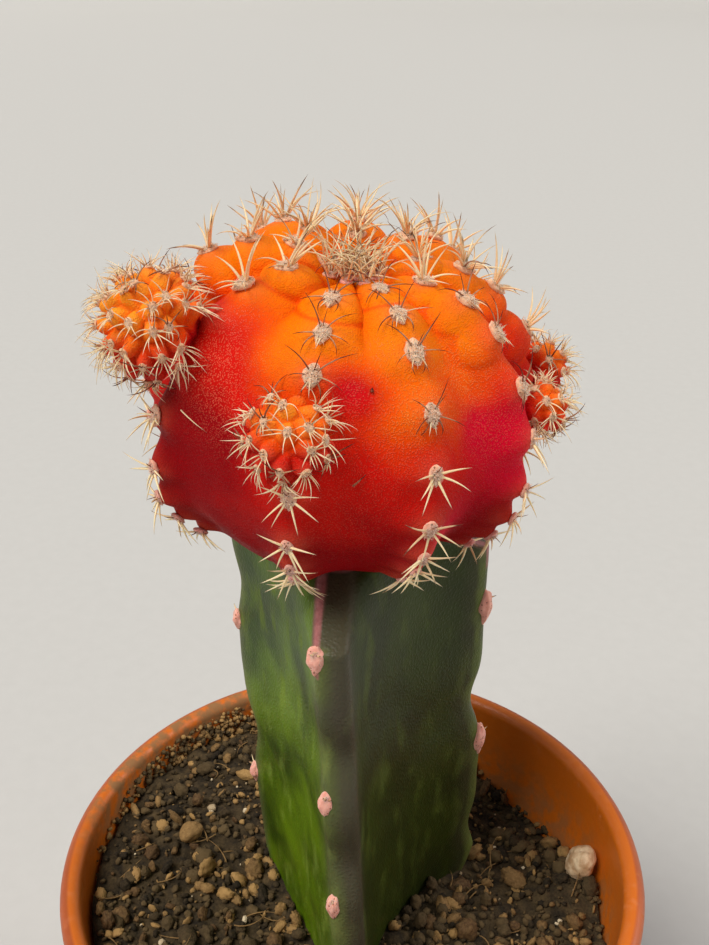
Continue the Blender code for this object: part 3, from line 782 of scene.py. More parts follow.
def grow_wool(place, normal, up, size, hairs, pink, rng):
    """A low woolly drop-shaped pad with a mat of curled hairs on it."""
    right = np.cross(up, normal)
    frame_axes = np.stack([right, up, normal])

    def drop(spots, height):
        shaped = spots * np.array([0.85, 1.2, height]) * size
        narrowing = 1.0 - 0.55 * within(-spots[:, 1]) ** 1.5
        shaped[:, 0] *= narrowing
        return place + shaped @ frame_axes

    points, faces = PAD_TEMPLATE
    uneven = 1.0 + 0.18 * lumps(points * size, 1800.0, rng.uniform(0, 40.0))
    pad = drop(points * uneven[:, None], 0.42)
    spots = unit(rng.normal(size=(hairs, 3)) + np.array([0.0, 0.0, 0.8]))
    spots = spots * np.sqrt(rng.uniform(0.2, 1.0, (hairs, 1)))
    spots[:, 2] = np.sqrt(np.clip(1.0 - spots[:, 0] ** 2 - spots[:, 1] ** 2, 0.04, 1.0))
    base = drop(spots, 0.4)
    heading = unit(rng.normal(size=(hairs, 3)) * np.array([1.0, 1.0, 0.45]) + spots * 0.5) @ frame_axes
    bend = unit(np.cross(heading, rng.normal(size=(hairs, 3))) - normal * 0.25)
    bend = unit(bend - heading * np.sum(bend * heading, axis=1, keepdims=True))
    length = rng.uniform(0.3, 0.6, hairs) * size
    curl = rng.uniform(1.4, 3.8, hairs)
    radius = np.full(hairs, HAIR_RADIUS)
    hair_points, hair_faces, _ = arc_tubes(base, heading, bend, length, curl, radius, 5, 4)
    return [wool_part(pad, faces.tolist(), pink, 0.0), wool_part(hair_points, hair_faces, pink * 0.7, 1.0)]


def plant_cushions(spine_name, wool_name, spines, wool, nodes=()):
    """The spines and the wool of many cushions as one piece each."""
    points, faces, values = spine_mesh(spines)
    make_piece(spine_name, points, faces, SPINE, values, nodes)
    points, faces, values = join_parts(wool)
    make_piece(wool_name, points, faces, WOOL, values)
    return len(spines)


print("pad faces:", len(PAD_TEMPLATE[1]))

# %% [markdown]
# The cushions follow the ribs. Those at the back keep their fans of pale spines far down, with curly ones
# among them near the crown, and the front ones turn to dark horns early. A cushion that an offset has grown
# over is left out.

# %% Cushions of the ribs
OFFSET_ROOM = 0.66 * MM
THICKET_RIBS = (3, 4, 5, 6)
THICKET_LATITUDE = 52.0
FAN_LATITUDES = (90.0, 90.0, 54.0, 20.0, 20.0, 20.0, 20.0, 20.0, 46.0)      # on each rib


def offset_centre(name):
    facts = OFFSETS[name]
    return BALL_CENTRE + direction(facts["azimuth"], facts["latitude"]) * facts["distance"] * MM


def grown_over(place):
    """True where an offset covers this spot of the ball."""
    return any(np.linalg.norm(place - offset_centre(name)) < facts["radius"] * MM + OFFSET_ROOM
               for name, facts in OFFSETS.items())


def cushion_pattern(rib, latitude):
    if latitude > FAN_LATITUDES[rib]:
        return FAN_SPINES
    return UPPER_SPINES if latitude > 20.0 else LOWER_SPINES


def build_rib(rib):
    rng = np.random.default_rng(100 + rib)
    spines, wool = [], []
    for latitude in AREOLE_LATITUDES + RIB_SHIFTS[rib]:
        azimuth = RIB_AZIMUTHS[rib] + rng.normal(0.0, 0.8)
        place, normal, up = (rows[0] for rows in skin_frames(azimuth, latitude))
        if grown_over(place):
            continue
        age = within((60.0 - latitude) / 95.0)
        stretch = 1.0 - 0.18 * age
        size = (1.15 - 0.35 * age ** 2) * MM * rng.uniform(0.9, 1.1)
        spines += grow_spines(place, normal, up, cushion_pattern(rib, latitude), stretch, rng)
        if rib in THICKET_RIBS and latitude > THICKET_LATITUDE:
            spines += grow_spines(place, normal, up, CURLY_SPINES, 1.1, rng)
        wool += grow_wool(place, normal, up, size, WOOL_HAIRS, 0.1 + 0.6 * age ** 2, rng)
    prefix = f"spine_cluster_rib{rib + 1}_"
    nodes = [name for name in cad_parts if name.startswith(prefix)]
    return plant_cushions(f"spines_rib_{rib + 1}", f"wool_rib_{rib + 1}", spines, wool, nodes)


print("spines on each rib:", [build_rib(rib) for rib in range(len(RIB_AZIMUTHS))])

# %% [markdown]
# At the growing point the cushions are still packed together in the dimple. Their spines are long and
# curl over each other in a tangle, with pinkish wool at its heart.

# %% Crown tuft
def build_crown():
    rng = np.random.default_rng(61)
    spines, wool = [], []
    for rib, azimuth in enumerate(RIB_AZIMUTHS):
        for latitude in (79.5, 86.0) if rib % 2 else (80.5,):
            place, normal, up = (rows[0] for rows in skin_frames(azimuth + rng.normal(0, 4.0), latitude))
            spines += grow_spines(place, normal, up, CURLY_SPINES, 1.2, rng)
            wool += grow_wool(place, normal, up, 0.85 * MM, 30, rng.uniform(0.2, 0.7), rng)
    return plant_cushions("crown_spines", "crown_wool", spines, wool, ["crown_tuft"])


print("crown spines:", build_crown())

# %% [markdown]
# A few dry bits stick to the wool and grain of the skin: a fallen spine, a sliver of bark and a dark fleck.
# Each is a short arc laid between two spots on the skin.

# %% Dry bits on the skin
# each bit: azimuth and latitude of both ends, radius in mm, darkness
DRY_BITS = (
    (-54.0, 14.0, -42.0, 12.0, 0.09, 0.25),
    (3.0, 8.0, 7.0, 12.0, 0.12, 0.9),
    (8.0, 34.4, 8.2, 35.8, 0.2, 1.0),
)


def build_dry_bits():
    rows = []
    for start_azimuth, start_latitude, end_azimuth, end_latitude, radius, dark in DRY_BITS:
        start, normal, _ = (values[0] for values in skin_frames(start_azimuth, start_latitude))
        end = skin_points(end_azimuth, end_latitude)[0]
        length = np.linalg.norm(end - start)
        way = (end - start) / length
        level = unit(normal - way * (normal @ way))
        start = start + level * 0.25 * MM
        rows.append((start, unit(way + level * 0.15), -level, length, 0.35, radius * MM, dark))
    points, faces, values = spine_mesh(rows)
    make_piece("dry_bits", points, faces, SPINE, values)
    return len(rows)


print("dry bits:", build_dry_bits())

# %% [markdown]
# ## Offsets
# Offsets are baby balls that sprout from the cushions. They are packed with cushions of their own, spread
# evenly like seeds on a sunflower head, and swell between them. Each starts as a fine sphere of triangles:
# every point looks for its nearest cushion and rises towards it, and sinks in the crease halfway to the
# next. Points that would lie inside the big ball stop just under its skin.

# %% Seeds and patterns of the offsets
GOLDEN_ANGLE = 137.508
COVERED_SHARE = 0.72          # of the sphere; the rest faces the ball
USUAL_SPINE = 4.2             # mm, in the patterns
OFFSET_CORE, OFFSET_RISE, OFFSET_CREASE = 0.83, 0.27, 0.07       # as shares of the radius
OFFSET_BED = 0.35 * MM        # how far an offset's skin goes on under the ball's
THIN_SPINES = tuple((angle + 20, length, lift + 24, curl + 0.3, radius * 0.52, dark * 1.2)
                    for angle, length, lift, curl, radius, dark in LOWER_SPINES)
BUSHY_SPINES = THIN_SPINES + tuple((angle - 70, length * 0.8, lift + 30, curl + 0.6, radius * 0.42, 0.3)
                                   for angle, length, lift, curl, radius, _ in LOWER_SPINES)
OFFSET_PATTERNS = (BUSHY_SPINES, THIN_SPINES, BUSHY_SPINES, BUSHY_SPINES, UPPER_SPINES, THIN_SPINES)


def seed_directions(count, share):
    """Evenly spread unit vectors about +Z, over a share of the sphere."""
    index = np.arange(count) + 0.5
    z = 1.0 - index / count * 2.0 * share
    level, turn = np.sqrt(1 - z * z), np.radians(GOLDEN_ANGLE) * index
    return np.stack([level * np.cos(turn), level * np.sin(turn), z], axis=1)


def offset_axes(outward):
    """Side, upward and outward unit vectors of an offset."""
    side = unit(np.cross(UP, outward))
    return np.stack([side, np.cross(outward, side), outward])


def stop_at_skin(points, depth):
    """Move points that lie inside the ball to a depth under its skin."""
    away = (points - BALL_CENTRE) @ LEAN
    distance = np.linalg.norm(away, axis=1)
    latitude = np.degrees(np.arcsin(np.clip(away[:, 2] / distance, -1, 1)))
    azimuth = np.degrees(np.arctan2(away[:, 0], -away[:, 1]))
    limit = skin_facts(azimuth, latitude)[0] - depth
    return BALL_CENTRE + (away * (np.maximum(distance, limit) / distance)[:, None]) @ LEAN.T


print("spines in a bushy and a thin pattern:", len(BUSHY_SPINES), len(THIN_SPINES))


# %% Build the offsets
def build_offset(name, seed):
    facts = OFFSETS[name]
    radius, count, blend = facts["radius"] * MM, facts["cushions"], facts["blend"]
    rng = np.random.default_rng(seed)
    centre = offset_centre(name)
    axes = offset_axes(unit(centre - BALL_CENTRE))
    seeds = unit(seed_directions(count, COVERED_SHARE) + rng.normal(0.0, 0.09, (count, 3)))
    sphere, faces = ball_template(6 if radius > 4.0 * MM else 5)
    angles = np.sort(np.arccos(np.clip(sphere @ seeds.T, -1.0, 1.0)), axis=1)
    spacing = math.sqrt(4.0 * math.pi * COVERED_SHARE / count)
    rise = OFFSET_RISE * np.exp(-(angles[:, 0] / (0.5 * spacing)) ** 2)
    crease = OFFSET_CREASE * np.exp(-((angles[:, 1] - angles[:, 0]) / (0.22 * spacing)) ** 2)
    swell = OFFSET_CORE + rise - crease + 0.04 * lumps(sphere, 2.5, seed)
    squash = np.array([1.0, 1.0, facts["flattening"]])
    points = centre + (sphere * swell[:, None] * squash * radius) @ axes
    points = stop_at_skin(points, OFFSET_BED)
    low = within(0.25 - (sphere @ axes)[:, 2] * 0.6)
    base = within(0.4 - sphere[:, 2])
    near_red, near_magenta, _ = skin_zones(points)
    values = {
        "red": low * 0.9 + base * 0.3 + near_red * blend,
        "magenta": base * 0.4 + near_magenta * blend * 0.6,
        # painted highlights on the grain, weak all over
        "painted_glint": np.full(len(points), 0.25),
        "halo": np.exp(-(angles[:, 0] / (0.3 * spacing)) ** 2) * 0.5,
        # painted shade in the creases between the offset's cushions
        "furrow": crease / OFFSET_CREASE * 0.8,
    }
    piece_name = name.replace("pup", "offset")
    make_piece(piece_name, points, faces.tolist(), OFFSET_SKIN, values, [name])
    spines, wool = [], []
    for seed_direction in seeds:
        local = seed_direction * squash * radius * 1.08
        place = centre + local @ axes
        normal = unit((seed_direction / squash) @ axes)
        if np.linalg.norm(stop_at_skin(place[None], -0.3 * MM)[0] - place) > 1e-6:
            continue
        up = unit(UP - normal * normal[2] + rng.normal(0.0, 0.25, 3))
        up = unit(up - normal * (up @ normal))
        pattern = OFFSET_PATTERNS[rng.integers(len(OFFSET_PATTERNS))]
        stretch = facts["spine"] / USUAL_SPINE * rng.uniform(0.75, 1.2)
        spines += grow_spines(place, normal, up, pattern, stretch, rng)
        wool += grow_wool(place, normal, up, 0.55 * MM, 22, 0.1, rng)
    return plant_cushions("spines_" + piece_name, "wool_" + piece_name, spines, wool)


print("offset spines:", {name: build_offset(name, 31 + i) for i, name in enumerate(OFFSETS)})

# %% [markdown]
# ## Rootstock
# The stem is a young shoot of a climbing cactus: three wings, dark green and waxy, with a pale bloom that
# rubs off. The edges of the wings are scalloped, and in each scallop sits a small corky cushion. Under the
# graft the wings were cut away at a slant, and the cuts have healed to a pinkish, corky strip.

# %% Stem material
def make_stem_material():
    material, make, shader = new_material(
        "stem_skin", Roughness=0.5, Specular_IOR_Level=0.16, Subsurface_Weight=0.05, Subsurface_Scale=0.001)
    grain = make.group(GRAIN, Scale=2400.0)
    broad = make.group(PATCHES, Scale=75.0, Start=0.3, Full=0.7)
    tall = make.node("VectorMath", {0: make.where, 1: (1.0, 1.0, 0.4)}, operation="MULTIPLY")[0]
    bloom = make.group(PATCHES, Vector=tall, Scale=300.0, Start=0.5, Full=0.72)
    colour = make.mix(broad, paint(42, 62, 6), paint(92, 120, 12))
    # painted shade: the faces turned from the light, the front edge past its left corner and the slanting
    # cut under the ball are darkened, and their bloom shows less
    shade = make.stored("shade")
    colour = make.coat(colour, shade, 0.85, paint(38, 42, 18))
    bloom = make.math("MULTIPLY", bloom, make.spread(shade, 0.0, 1.0, 0.4, 0.13))
    colour = make.mix(bloom, colour, paint(136, 156, 66))
    colour = make.mix(make.stored("edge"), colour, paint(112, 94, 92))
    cork = make.mix(make.noise(1200.0), paint(118, 66, 66), paint(188, 124, 122))
    colour = make.mix(make.stored("scar"), colour, cork)
    make.feed(shader["Base Color"], colour)
    make.feed(shader["Roughness"], make.spread(bloom, 0.0, 0.4, 0.42, 0.62))
    make.bump(shader, grain, 0.00004)
    return material


STEM_SKIN = make_stem_material()
print("stem material:", STEM_SKIN.name)

# %% [markdown]
# The stem is a stack of level sections. Each has three blunt edges, one for each wing, joined by hollow
# faces that are simple curves pulled towards the axis. With height the wings twist a little, taper and
# swell between the scallops, and at the top the slanting cut takes them in to the graft.

# %% Measures of the stem
STEM_LOW, STEM_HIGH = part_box("rootstock")
STEM_TOP = STEM_HIGH.z
STEM_FOOT = STEM_LOW.z
STEM_OFFSET_X = -1.0 * MM
WING_RADIUS = 20.0 * MM
FACE_RADIUS = 8.6 * MM
EDGE_HALF_WIDTH = 2.1 * MM
EDGE_ROUND = 1.1 * MM
WING_AZIMUTHS = (-5.0, 109.0, 229.0)
WING_TAPER = (0.02, -0.13, 0.30)
STEM_TWIST = 7.0
GRAFT_RADIUS = 9.0 * MM
BEVEL_DROP = 5.5 * MM
NOTCH_DEPTH = 1.5 * MM
NOTCH_HEIGHT = 4.5 * MM
NOTCH_CENTRES = ((34.0, 17.0), (24.0, -2.0), (42.0, 17.0))
NUB_HEIGHTS = ((49.0, 27.5, 10.0), (40.0, 15.5), (35.0, 9.0))
STEM_EDGE_STEPS = 17
SCAR_LENGTH = 9.0 * MM
# painted shade of the face after each wing: the right front face, the back face and the left face
PAINTED_FACE_SHADES = (1.0, 0.45, 0.0)
STEM_FACE_STEPS = 26
STEM_ROWS, BEVEL_ROWS = 210, 28
print("stem height:", round((STEM_TOP - STEM_FOOT) * 1000, 1), "mm")


# %% Wings of the stem
def wing_reach(wing, height):
    """How far a wing stands out at a height, and how much of that the slanting cut took away."""
    depth = min(max((STEM_TOP - height) / (STEM_TOP - SOIL_PLANE), 0.0), 1.0)
    reach = WING_RADIUS * (1.0 - WING_TAPER[wing] * depth ** 1.5)
    for centre in NOTCH_CENTRES[wing]:
        away = (height - RIM_PLANE - centre * MM) / NOTCH_HEIGHT
        reach -= NOTCH_DEPTH * math.exp(-away * away)
    buried = max(SOIL_PLANE - height, 0.0) / (SOIL_PLANE - STEM_FOOT)
    reach *= 1.0 - 0.55 * buried
    bevel = GRAFT_RADIUS + (STEM_TOP - height) * (WING_RADIUS - GRAFT_RADIUS) / BEVEL_DROP
    return min(reach, bevel), float(within((reach - bevel) / (1.2 * MM)))


def wing_frame(wing, height):
    """Outward and sideways unit vectors of a wing at a height, with its reach and cut."""
    turn = WING_AZIMUTHS[wing] + STEM_TWIST * (STEM_TOP - height) / (STEM_TOP - RIM_PLANE)
    return compass(turn), compass(turn + 90.0), wing_reach(wing, height)


def scar_strip(side, height):
    """How far a healed cut covers a blunt edge: a strip along one corner, narrowing downwards."""
    width = max((height - STEM_TOP + SCAR_LENGTH) / SCAR_LENGTH, 0.0)
    return float(within(1.0 - (abs(side + 0.8) - 0.25 * width) / 0.15)) * float(width > 0.0)


print("reach of each wing at the soil:", [round(wing_reach(wing, SOIL_PLANE)[0], 4) for wing in range(3)])


# %% Sections of the stem
def stem_section(height):
    """One level section: points, and for each how close an edge and a healed cut are, and its painted
    shade.
    """
    tips = [wing_frame(wing, height) for wing in range(3)]
    points, edge, scar, shade = [], [], [], []
    for wing, (outward, across, (reach, cut)) in enumerate(tips):
        for side in np.linspace(-1.0, 1.0, STEM_EDGE_STEPS):
            points.append(outward * (reach - EDGE_ROUND * side ** 4) + across * EDGE_HALF_WIDTH * side)
            edge.append(1.0)
            # painted shade on the front edge past its left corner, and on the slanting cut
            shade.append(max(float(within(side + 0.8)) * (wing == 0), cut))
            scar.append(scar_strip(side, height))
        start = points[-1]
        next_out, next_across, (next_reach, _) = tips[(wing + 1) % 3]
        end = next_out * (next_reach - EDGE_ROUND) - next_across * EDGE_HALF_WIDTH
        middle = unit(outward + next_out) * min(FACE_RADIUS, (reach + next_reach) * 0.45)
        pull = middle * 2.0 - (start + end) / 2.0
        for step in range(1, STEM_FACE_STEPS):
            t = step / STEM_FACE_STEPS
            points.append(start * (1 - t) ** 2 + pull * 2.0 * t * (1 - t) + end * t * t)
            edge.append(0.6 * max(0.0, 1.0 - min(t, 1.0 - t) * 9.0))
            shade.append(PAINTED_FACE_SHADES[wing])
            scar.append(0.0)
    centre = np.array([STEM_OFFSET_X, 0.0, height])
    return np.array(points) + centre, edge, scar, shade


print("points of a section:", len(stem_section(RIM_PLANE)[0]))


# %% Build the stem
def build_stem():
    low = np.linspace(STEM_FOOT, STEM_TOP - BEVEL_DROP, STEM_ROWS)
    heights = np.concatenate([low, np.linspace(STEM_TOP - BEVEL_DROP, STEM_TOP, BEVEL_ROWS)[1:]])
    sections = [stem_section(height) for height in heights]
    points, edge, scar, shade = (np.concatenate(column) for column in zip(*sections))
    outward = points - np.array([STEM_OFFSET_X, 0.0, 0.0])
    outward[:, 2] = 0.0
    ripple = lumps(points, 90.0, 5.0) * 0.35 * MM + lumps(points, 260.0, 8.0) * 0.12 * MM
    points = points + unit(outward) * (ripple * (1.0 - scar * 0.5))[:, None]
    scar = within(scar + (points[:, 2] > STEM_TOP - 0.6 * MM) * 0.8)
    # shade holds the painted shade of each point
    values = {"edge": edge * 0.28, "scar": scar, "shade": shade}
    faces = closed_faces(len(sections), len(sections[0][0]))
    return make_piece("stem", points, faces, STEM_SKIN, values, ["rootstock"])


STEM = build_stem()
print("stem faces:", len(STEM.data.polygons))

# %% [markdown]
# The corky cushions sit in the scallops, along one corner of each blunt edge. A long low knob, a little
# wool and one or two stubby spines are enough to read as such at this size.

# %% Cushions of the stem
STUB_SPINES = ((-20, 1.5, 50, 0.3, 0.12, 0.3), (35, 1.2, 45, 0.3, 0.12, 0.4))
CUSHION_SIDES = (-0.8, -0.7, 0.8)
CUSHION_SIZES = np.array([[1.05, 0.9, 2.0], [1.2, 1.2, 3.0], [1.0, 0.9, 1.8]]) * MM


def build_stem_cushions():
    rng = np.random.default_rng(5)
    spines, soft = [], []
    sphere, faces = ball_template(4)
    for wing, heights in enumerate(NUB_HEIGHTS):
        for level in heights:
            height = RIM_PLANE + level * MM
            outward, across, (reach, _) = wing_frame(wing, height)
            side = CUSHION_SIDES[wing]
            reach -= EDGE_ROUND * side ** 4 + 0.2 * MM
            axis = np.array([STEM_OFFSET_X, 0.0, height])
            place = axis + outward * reach + across * EDGE_HALF_WIDTH * side
            uneven = 1.0 + 0.22 * lumps(sphere, 1.7, level)
            shaped = sphere * uneven[:, None] * CUSHION_SIZES[wing]
            shaped[:, :2] *= 1.0 - 0.5 * within(-sphere[:, 2:])
            knob = place + shaped @ np.stack([across, outward, UP])
            soft.append(wool_part(knob, faces.tolist(), 0.55, 0.0))
            top = place + outward * 0.4 * MM + UP * 0.9 * MM
            spines += grow_spines(top, outward, UP, STUB_SPINES[:rng.integers(1, 3)], 0.8, rng)
            soft += grow_wool(top, outward, UP, 0.6 * MM, 16, 0.3, rng)
    return plant_cushions("stem_stub_spines", "stem_cushions", spines, soft)


print("stem stubs:", build_stem_cushions())

# %% [markdown]
# ## Soil
# Peat mix is a dark, crumbly bed with tan bark bits, pale grains and a few fibres. A flat disc with a bump
# map never looks like soil, because its outline against the pot is smooth. So a lumpy bed is covered with
# some four thousand small crumbs, each its own turned and stretched blob, in a few colours.

# %% Soil materials
def make_crumb_material(name, dark, light, rough):
    material, make, shader = new_material(name, Roughness=rough, Specular_IOR_Level=0.3)
    grain = make.noise(2600.0, detail=3.0)
    tone = make.math("MULTIPLY", make.stored("tone"), 0.7)
    shade = make.math("MULTIPLY_ADD", grain, 0.5, tone)
    make.feed(shader["Base Color"], make.mix(make.spread(shade, 0.1, 0.9), dark, light))
    make.feed(shader["Roughness"], make.spread(grain, 0.2, 0.8, rough, rough - 0.15))
    make.bump(shader, make.noise(5200.0, detail=3.0), 0.00018)
    return material


PEAT = make_crumb_material("peat", paint(25, 20, 12), paint(94, 76, 48), 0.95)
BARK_BITS = make_crumb_material("bark_bits", paint(66, 44, 24), paint(168, 132, 80), 0.8)
PALE_GRAINS = make_crumb_material("pale_grains", paint(150, 122, 84), paint(222, 204, 170), 0.75)
print("soil materials:", [material.name for material in (PEAT, BARK_BITS, PALE_GRAINS)])

# %% [markdown]
# The bed is a height at each place: a plane that rises to the left, where the soil was heaped, with a broad
# hollow, a small mound and two sizes of lumps. Its wall follows the pot's taper down to the floor.

# %% Build the soil bed
SOIL_SLOPE = 3.4 * MM
HEAP_AZIMUTH = -105.0
SOIL_LUMPS = 0.9 * MM
SOIL_SWELLS = ((25.0 * MM, 19.0 * MM, 17.0 * MM, -5.5 * MM), (35.0 * MM, 3.0 * MM, 7.0 * MM, 2.6 * MM))
SOIL_GAP = 0.4 * MM           # to the pot's wall
SOIL_RINGS = 70
SOIL_SPOKES = 220


def wall_radius(height):
    top = RIM_RADIUS - COLLAR_STEP
    return BASE_RADIUS + (top - BASE_RADIUS) * height / POT_HEIGHT


def inner_radius(height):
    return wall_radius(height) - WALL


def soil_height(places):
    """Top of the bed at level places, as an array."""
    x, y = places[:, 0], places[:, 1]
    tilt = places @ compass(HEAP_AZIMUTH) / inner_radius(RIM_PLANE)
    height = SOIL_PLANE + SOIL_SLOPE * tilt
    for swell_x, swell_y, radius, rise in SOIL_SWELLS:
        height += rise * np.exp(-((x - swell_x) ** 2 + (y - swell_y) ** 2) / radius ** 2)
    return height + lumps(places, 170.0) * SOIL_LUMPS + lumps(places, 430.0) * SOIL_LUMPS * 0.5


def build_soil_bed():
    rays = spokes(SOIL_SPOKES)
    edge_height = soil_height(rays * inner_radius(RIM_PLANE)) - SOIL_LUMPS
    reach = inner_radius(edge_height) - SOIL_GAP
    levels = np.linspace(FLOOR + 0.3 * MM, edge_height.min() - 2.0 * MM, 6)
    rows = [spin([(inner_radius(level) - SOIL_GAP, level)], SOIL_SPOKES) for level in levels]
    for share in np.linspace(1.0, 0.02, SOIL_RINGS):
        flat = rays * (reach * share)[:, None]
        fine = lumps(flat, 900.0, 2.0) * 0.45 * MM + lumps(flat, 2000.0, 4.0) * 0.22 * MM
        flat[:, 2] = soil_height(flat) + fine - 0.5 * MM
        rows.append(flat)
    points = np.concatenate(rows)
    faces = closed_faces(len(rows), SOIL_SPOKES)
    tone = within(0.25 + 0.5 * lumps(points, 600.0, 6.0))
    return make_piece("soil_bed", points, faces, PEAT, {"tone": tone}, ["soil"])


print("soil faces:", len(build_soil_bed().data.polygons))

# %% [markdown]
# Crumbs need to lie on the bed but not in the stem, so the stem's own outline at soil level says which
# places are free.

# %% Free places on the bed
def inside_stem(places, margin):
    """True where the stem stands, by its three wings at soil level."""
    section = stem_section(SOIL_PLANE)[0][:, :2]
    centre = np.array([STEM_OFFSET_X, 0.0])
    turn = np.arctan2(section[:, 1], section[:, 0] - centre[0])
    order = np.argsort(turn)
    reach = np.linalg.norm(section - centre, axis=1)[order]
    here = places[:, :2] - centre
    limit = np.interp(np.arctan2(here[:, 1], here[:, 0]), turn[order], reach, period=2 * np.pi)
    return np.linalg.norm(here, axis=1) < limit + margin


def soil_spots(count, rng, margin=0.0):
    """Random places on the bed, clear of the stem."""
    places = np.zeros((0, 3))
    while len(places) < count:
        radius = np.sqrt(rng.uniform(0.0, 1.0, count * 2)) * (inner_radius(SOIL_PLANE) - 0.8 * MM)
        spots = compass(rng.uniform(0.0, 360.0, count * 2)) * radius[:, None]
        places = np.concatenate([places, spots[~inside_stem(spots, margin)]])
    places = places[:count]
    places[:, 2] = soil_height(places)
    return places


print("the axis lies in the stem:", inside_stem(np.array([[0.0, 0.0, 0.0]]), 0.0)[0])

# %% [markdown]
# Each lot of crumbs is one mesh of many turned copies. Most are small and a few are big, as in sieved soil:
# a random share raised to a power gives that. Sandy crumbs also cling to the wall above the heap, and a few
# root fibres lie on top.

# %% Dirt on the wall
DIRT_CRUMBS, DIRT_AZIMUTH, DIRT_SPREAD, DIRT_CLIMB = 1100, -142.0, 19.0, 7.3 * MM


def build_wall_dirt():
    """Sandy crumbs that cling to the wall where the bed was heaped up against it."""
    rng = np.random.default_rng(58)
    azimuth = rng.normal(DIRT_AZIMUTH, DIRT_SPREAD, DIRT_CRUMBS)
    climb = rng.uniform(0.0, 1.0, DIRT_CRUMBS) ** 1.3
    height = RIM_PLANE - 7.5 * MM + DIRT_CLIMB * climb * np.cos(np.radians(azimuth - DIRT_AZIMUTH))
    size = rng.uniform(0.4, 2.0, DIRT_CRUMBS) * MM * (1.0 - 0.45 * climb)
    places = compass(azimuth) * (inner_radius(height) - size * 0.25)[:, None]
    places[:, 2] = height
    sizes = size[:, None] * rng.uniform(0.5, 1.0, (DIRT_CRUMBS, 3)) / 2.0
    half = DIRT_CRUMBS // 2
    for name, start, material in (("wall_dirt_pale", 0, BARK_BITS), ("wall_dirt_dark", half, PEAT)):
        rows = slice(start, start + half)
        points, faces = scatter(ball_template(2), random_turns(half, rng), places[rows], sizes[rows], rng)
        tone = rng.uniform(0.3, 1.0, half).repeat(len(points) // half)
        make_piece(name, points, faces, material, {"tone": tone})
    return DIRT_CRUMBS


print("crumbs on the wall:", build_wall_dirt())

# %% Crumbs, bark bits and grains
def build_crumbs(name, count, small, large, stretch, lift, material, detail, seed, side_bias=0.0):
    """One lot of crumbs, from small to large in mm; side_bias thins it out on the right."""
    rng = np.random.default_rng(seed)
    places = soil_spots(count, rng, 0.3 * MM)
    left = places[:, 0] < rng.normal(0.0, 26.0 * MM, count)
    places = places[left | (rng.uniform(size=count) > side_bias)]
    count = len(places)
    size = (small + (large - small) * rng.uniform(0.0, 1.0, count) ** 2.2) * MM
    sizes = size[:, None] * rng.uniform(1.0 - stretch, 1.0, (count, 3)) / 2.0
    sizes[:, 2] *= 1.0 - stretch * 0.5
    places[:, 2] += size * lift * rng.uniform(0.2, 1.0, count) - 0.35 * MM
    points, faces = scatter(ball_template(detail), random_turns(count, rng), places, sizes, rng)
    tone = rng.uniform(0.0, 1.0, count).repeat(len(points) // count)
    make_piece(name, points, faces, material, {"tone": tone})
    return len(faces)


print("crumb faces:", [
    build_crumbs("peat_crumbs_small", 2400, 0.5, 1.8, 0.5, 0.3, PEAT, 2, 41),
    build_crumbs("peat_crumbs_large", 460, 1.4, 3.6, 0.5, 0.3, PEAT, 3, 42),
    build_crumbs("bark_bits_small", 760, 0.7, 2.4, 0.7, 0.4, BARK_BITS, 2, 43, 0.4),
    build_crumbs("bark_bits_large", 250, 2.0, 4.4, 0.65, 0.3, BARK_BITS, 3, 44, 0.45),
    build_crumbs("pale_grains_small", 120, 0.4, 1.5, 0.4, 0.4, PALE_GRAINS, 2, 45, 0.4),
])

# %% Root fibres
FIBRES, FIBRE_RADIUS = 90, 0.11 * MM


def build_fibres():
    rng = np.random.default_rng(77)
    places = soil_spots(FIBRES, rng)
    places[:, 2] += 0.4 * MM
    heading = unit(rng.normal(size=(FIBRES, 3)) * np.array([1.0, 1.0, 0.25]))
    bend = unit(np.cross(heading, rng.normal(size=(FIBRES, 3)) * np.array([0.4, 0.4, 1.0])))
    length = rng.uniform(2.0, 6.5, FIBRES) * MM
    curl = rng.uniform(0.3, 1.8, FIBRES)
    radius = np.full(FIBRES, FIBRE_RADIUS)
    points, faces, _ = arc_tubes(places, heading, bend, length, curl, radius, 8, 5)
    make_piece("soil_fibres", points, faces, BARK_BITS, {"tone": np.full(len(points), 0.4)})
    return FIBRES


print("fibres:", build_fibres())

# %% [markdown]
# ## Stones and chips
# A white pebble leans on the wall, and three bark chips lie on the bed. Each starts from its own shape in
# the frame, which is subdivided into a smooth blob and roughened with noise.

# %% Build the loose bits
def make_pebble_material():
    material, make, shader = new_material("pebble", Roughness=0.6)
    veins = make.noise(520.0, detail=5.0)
    colour = make.mix(make.spread(veins, 0.35, 0.7), paint(186, 148, 108), paint(242, 216, 178))
    dirt = make.group(PATCHES, Scale=700.0, Start=0.55, Full=0.75)
    colour = make.coat(colour, dirt, 0.45, paint(92, 66, 44))
    make.feed(shader["Base Color"], colour)
    make.feed(shader["Roughness"], make.spread(dirt, 0.0, 1.0, 0.5, 0.85))
    make.bump(shader, make.noise(1900.0, detail=4.0), 0.0002)
    return material


PEBBLE = make_pebble_material()


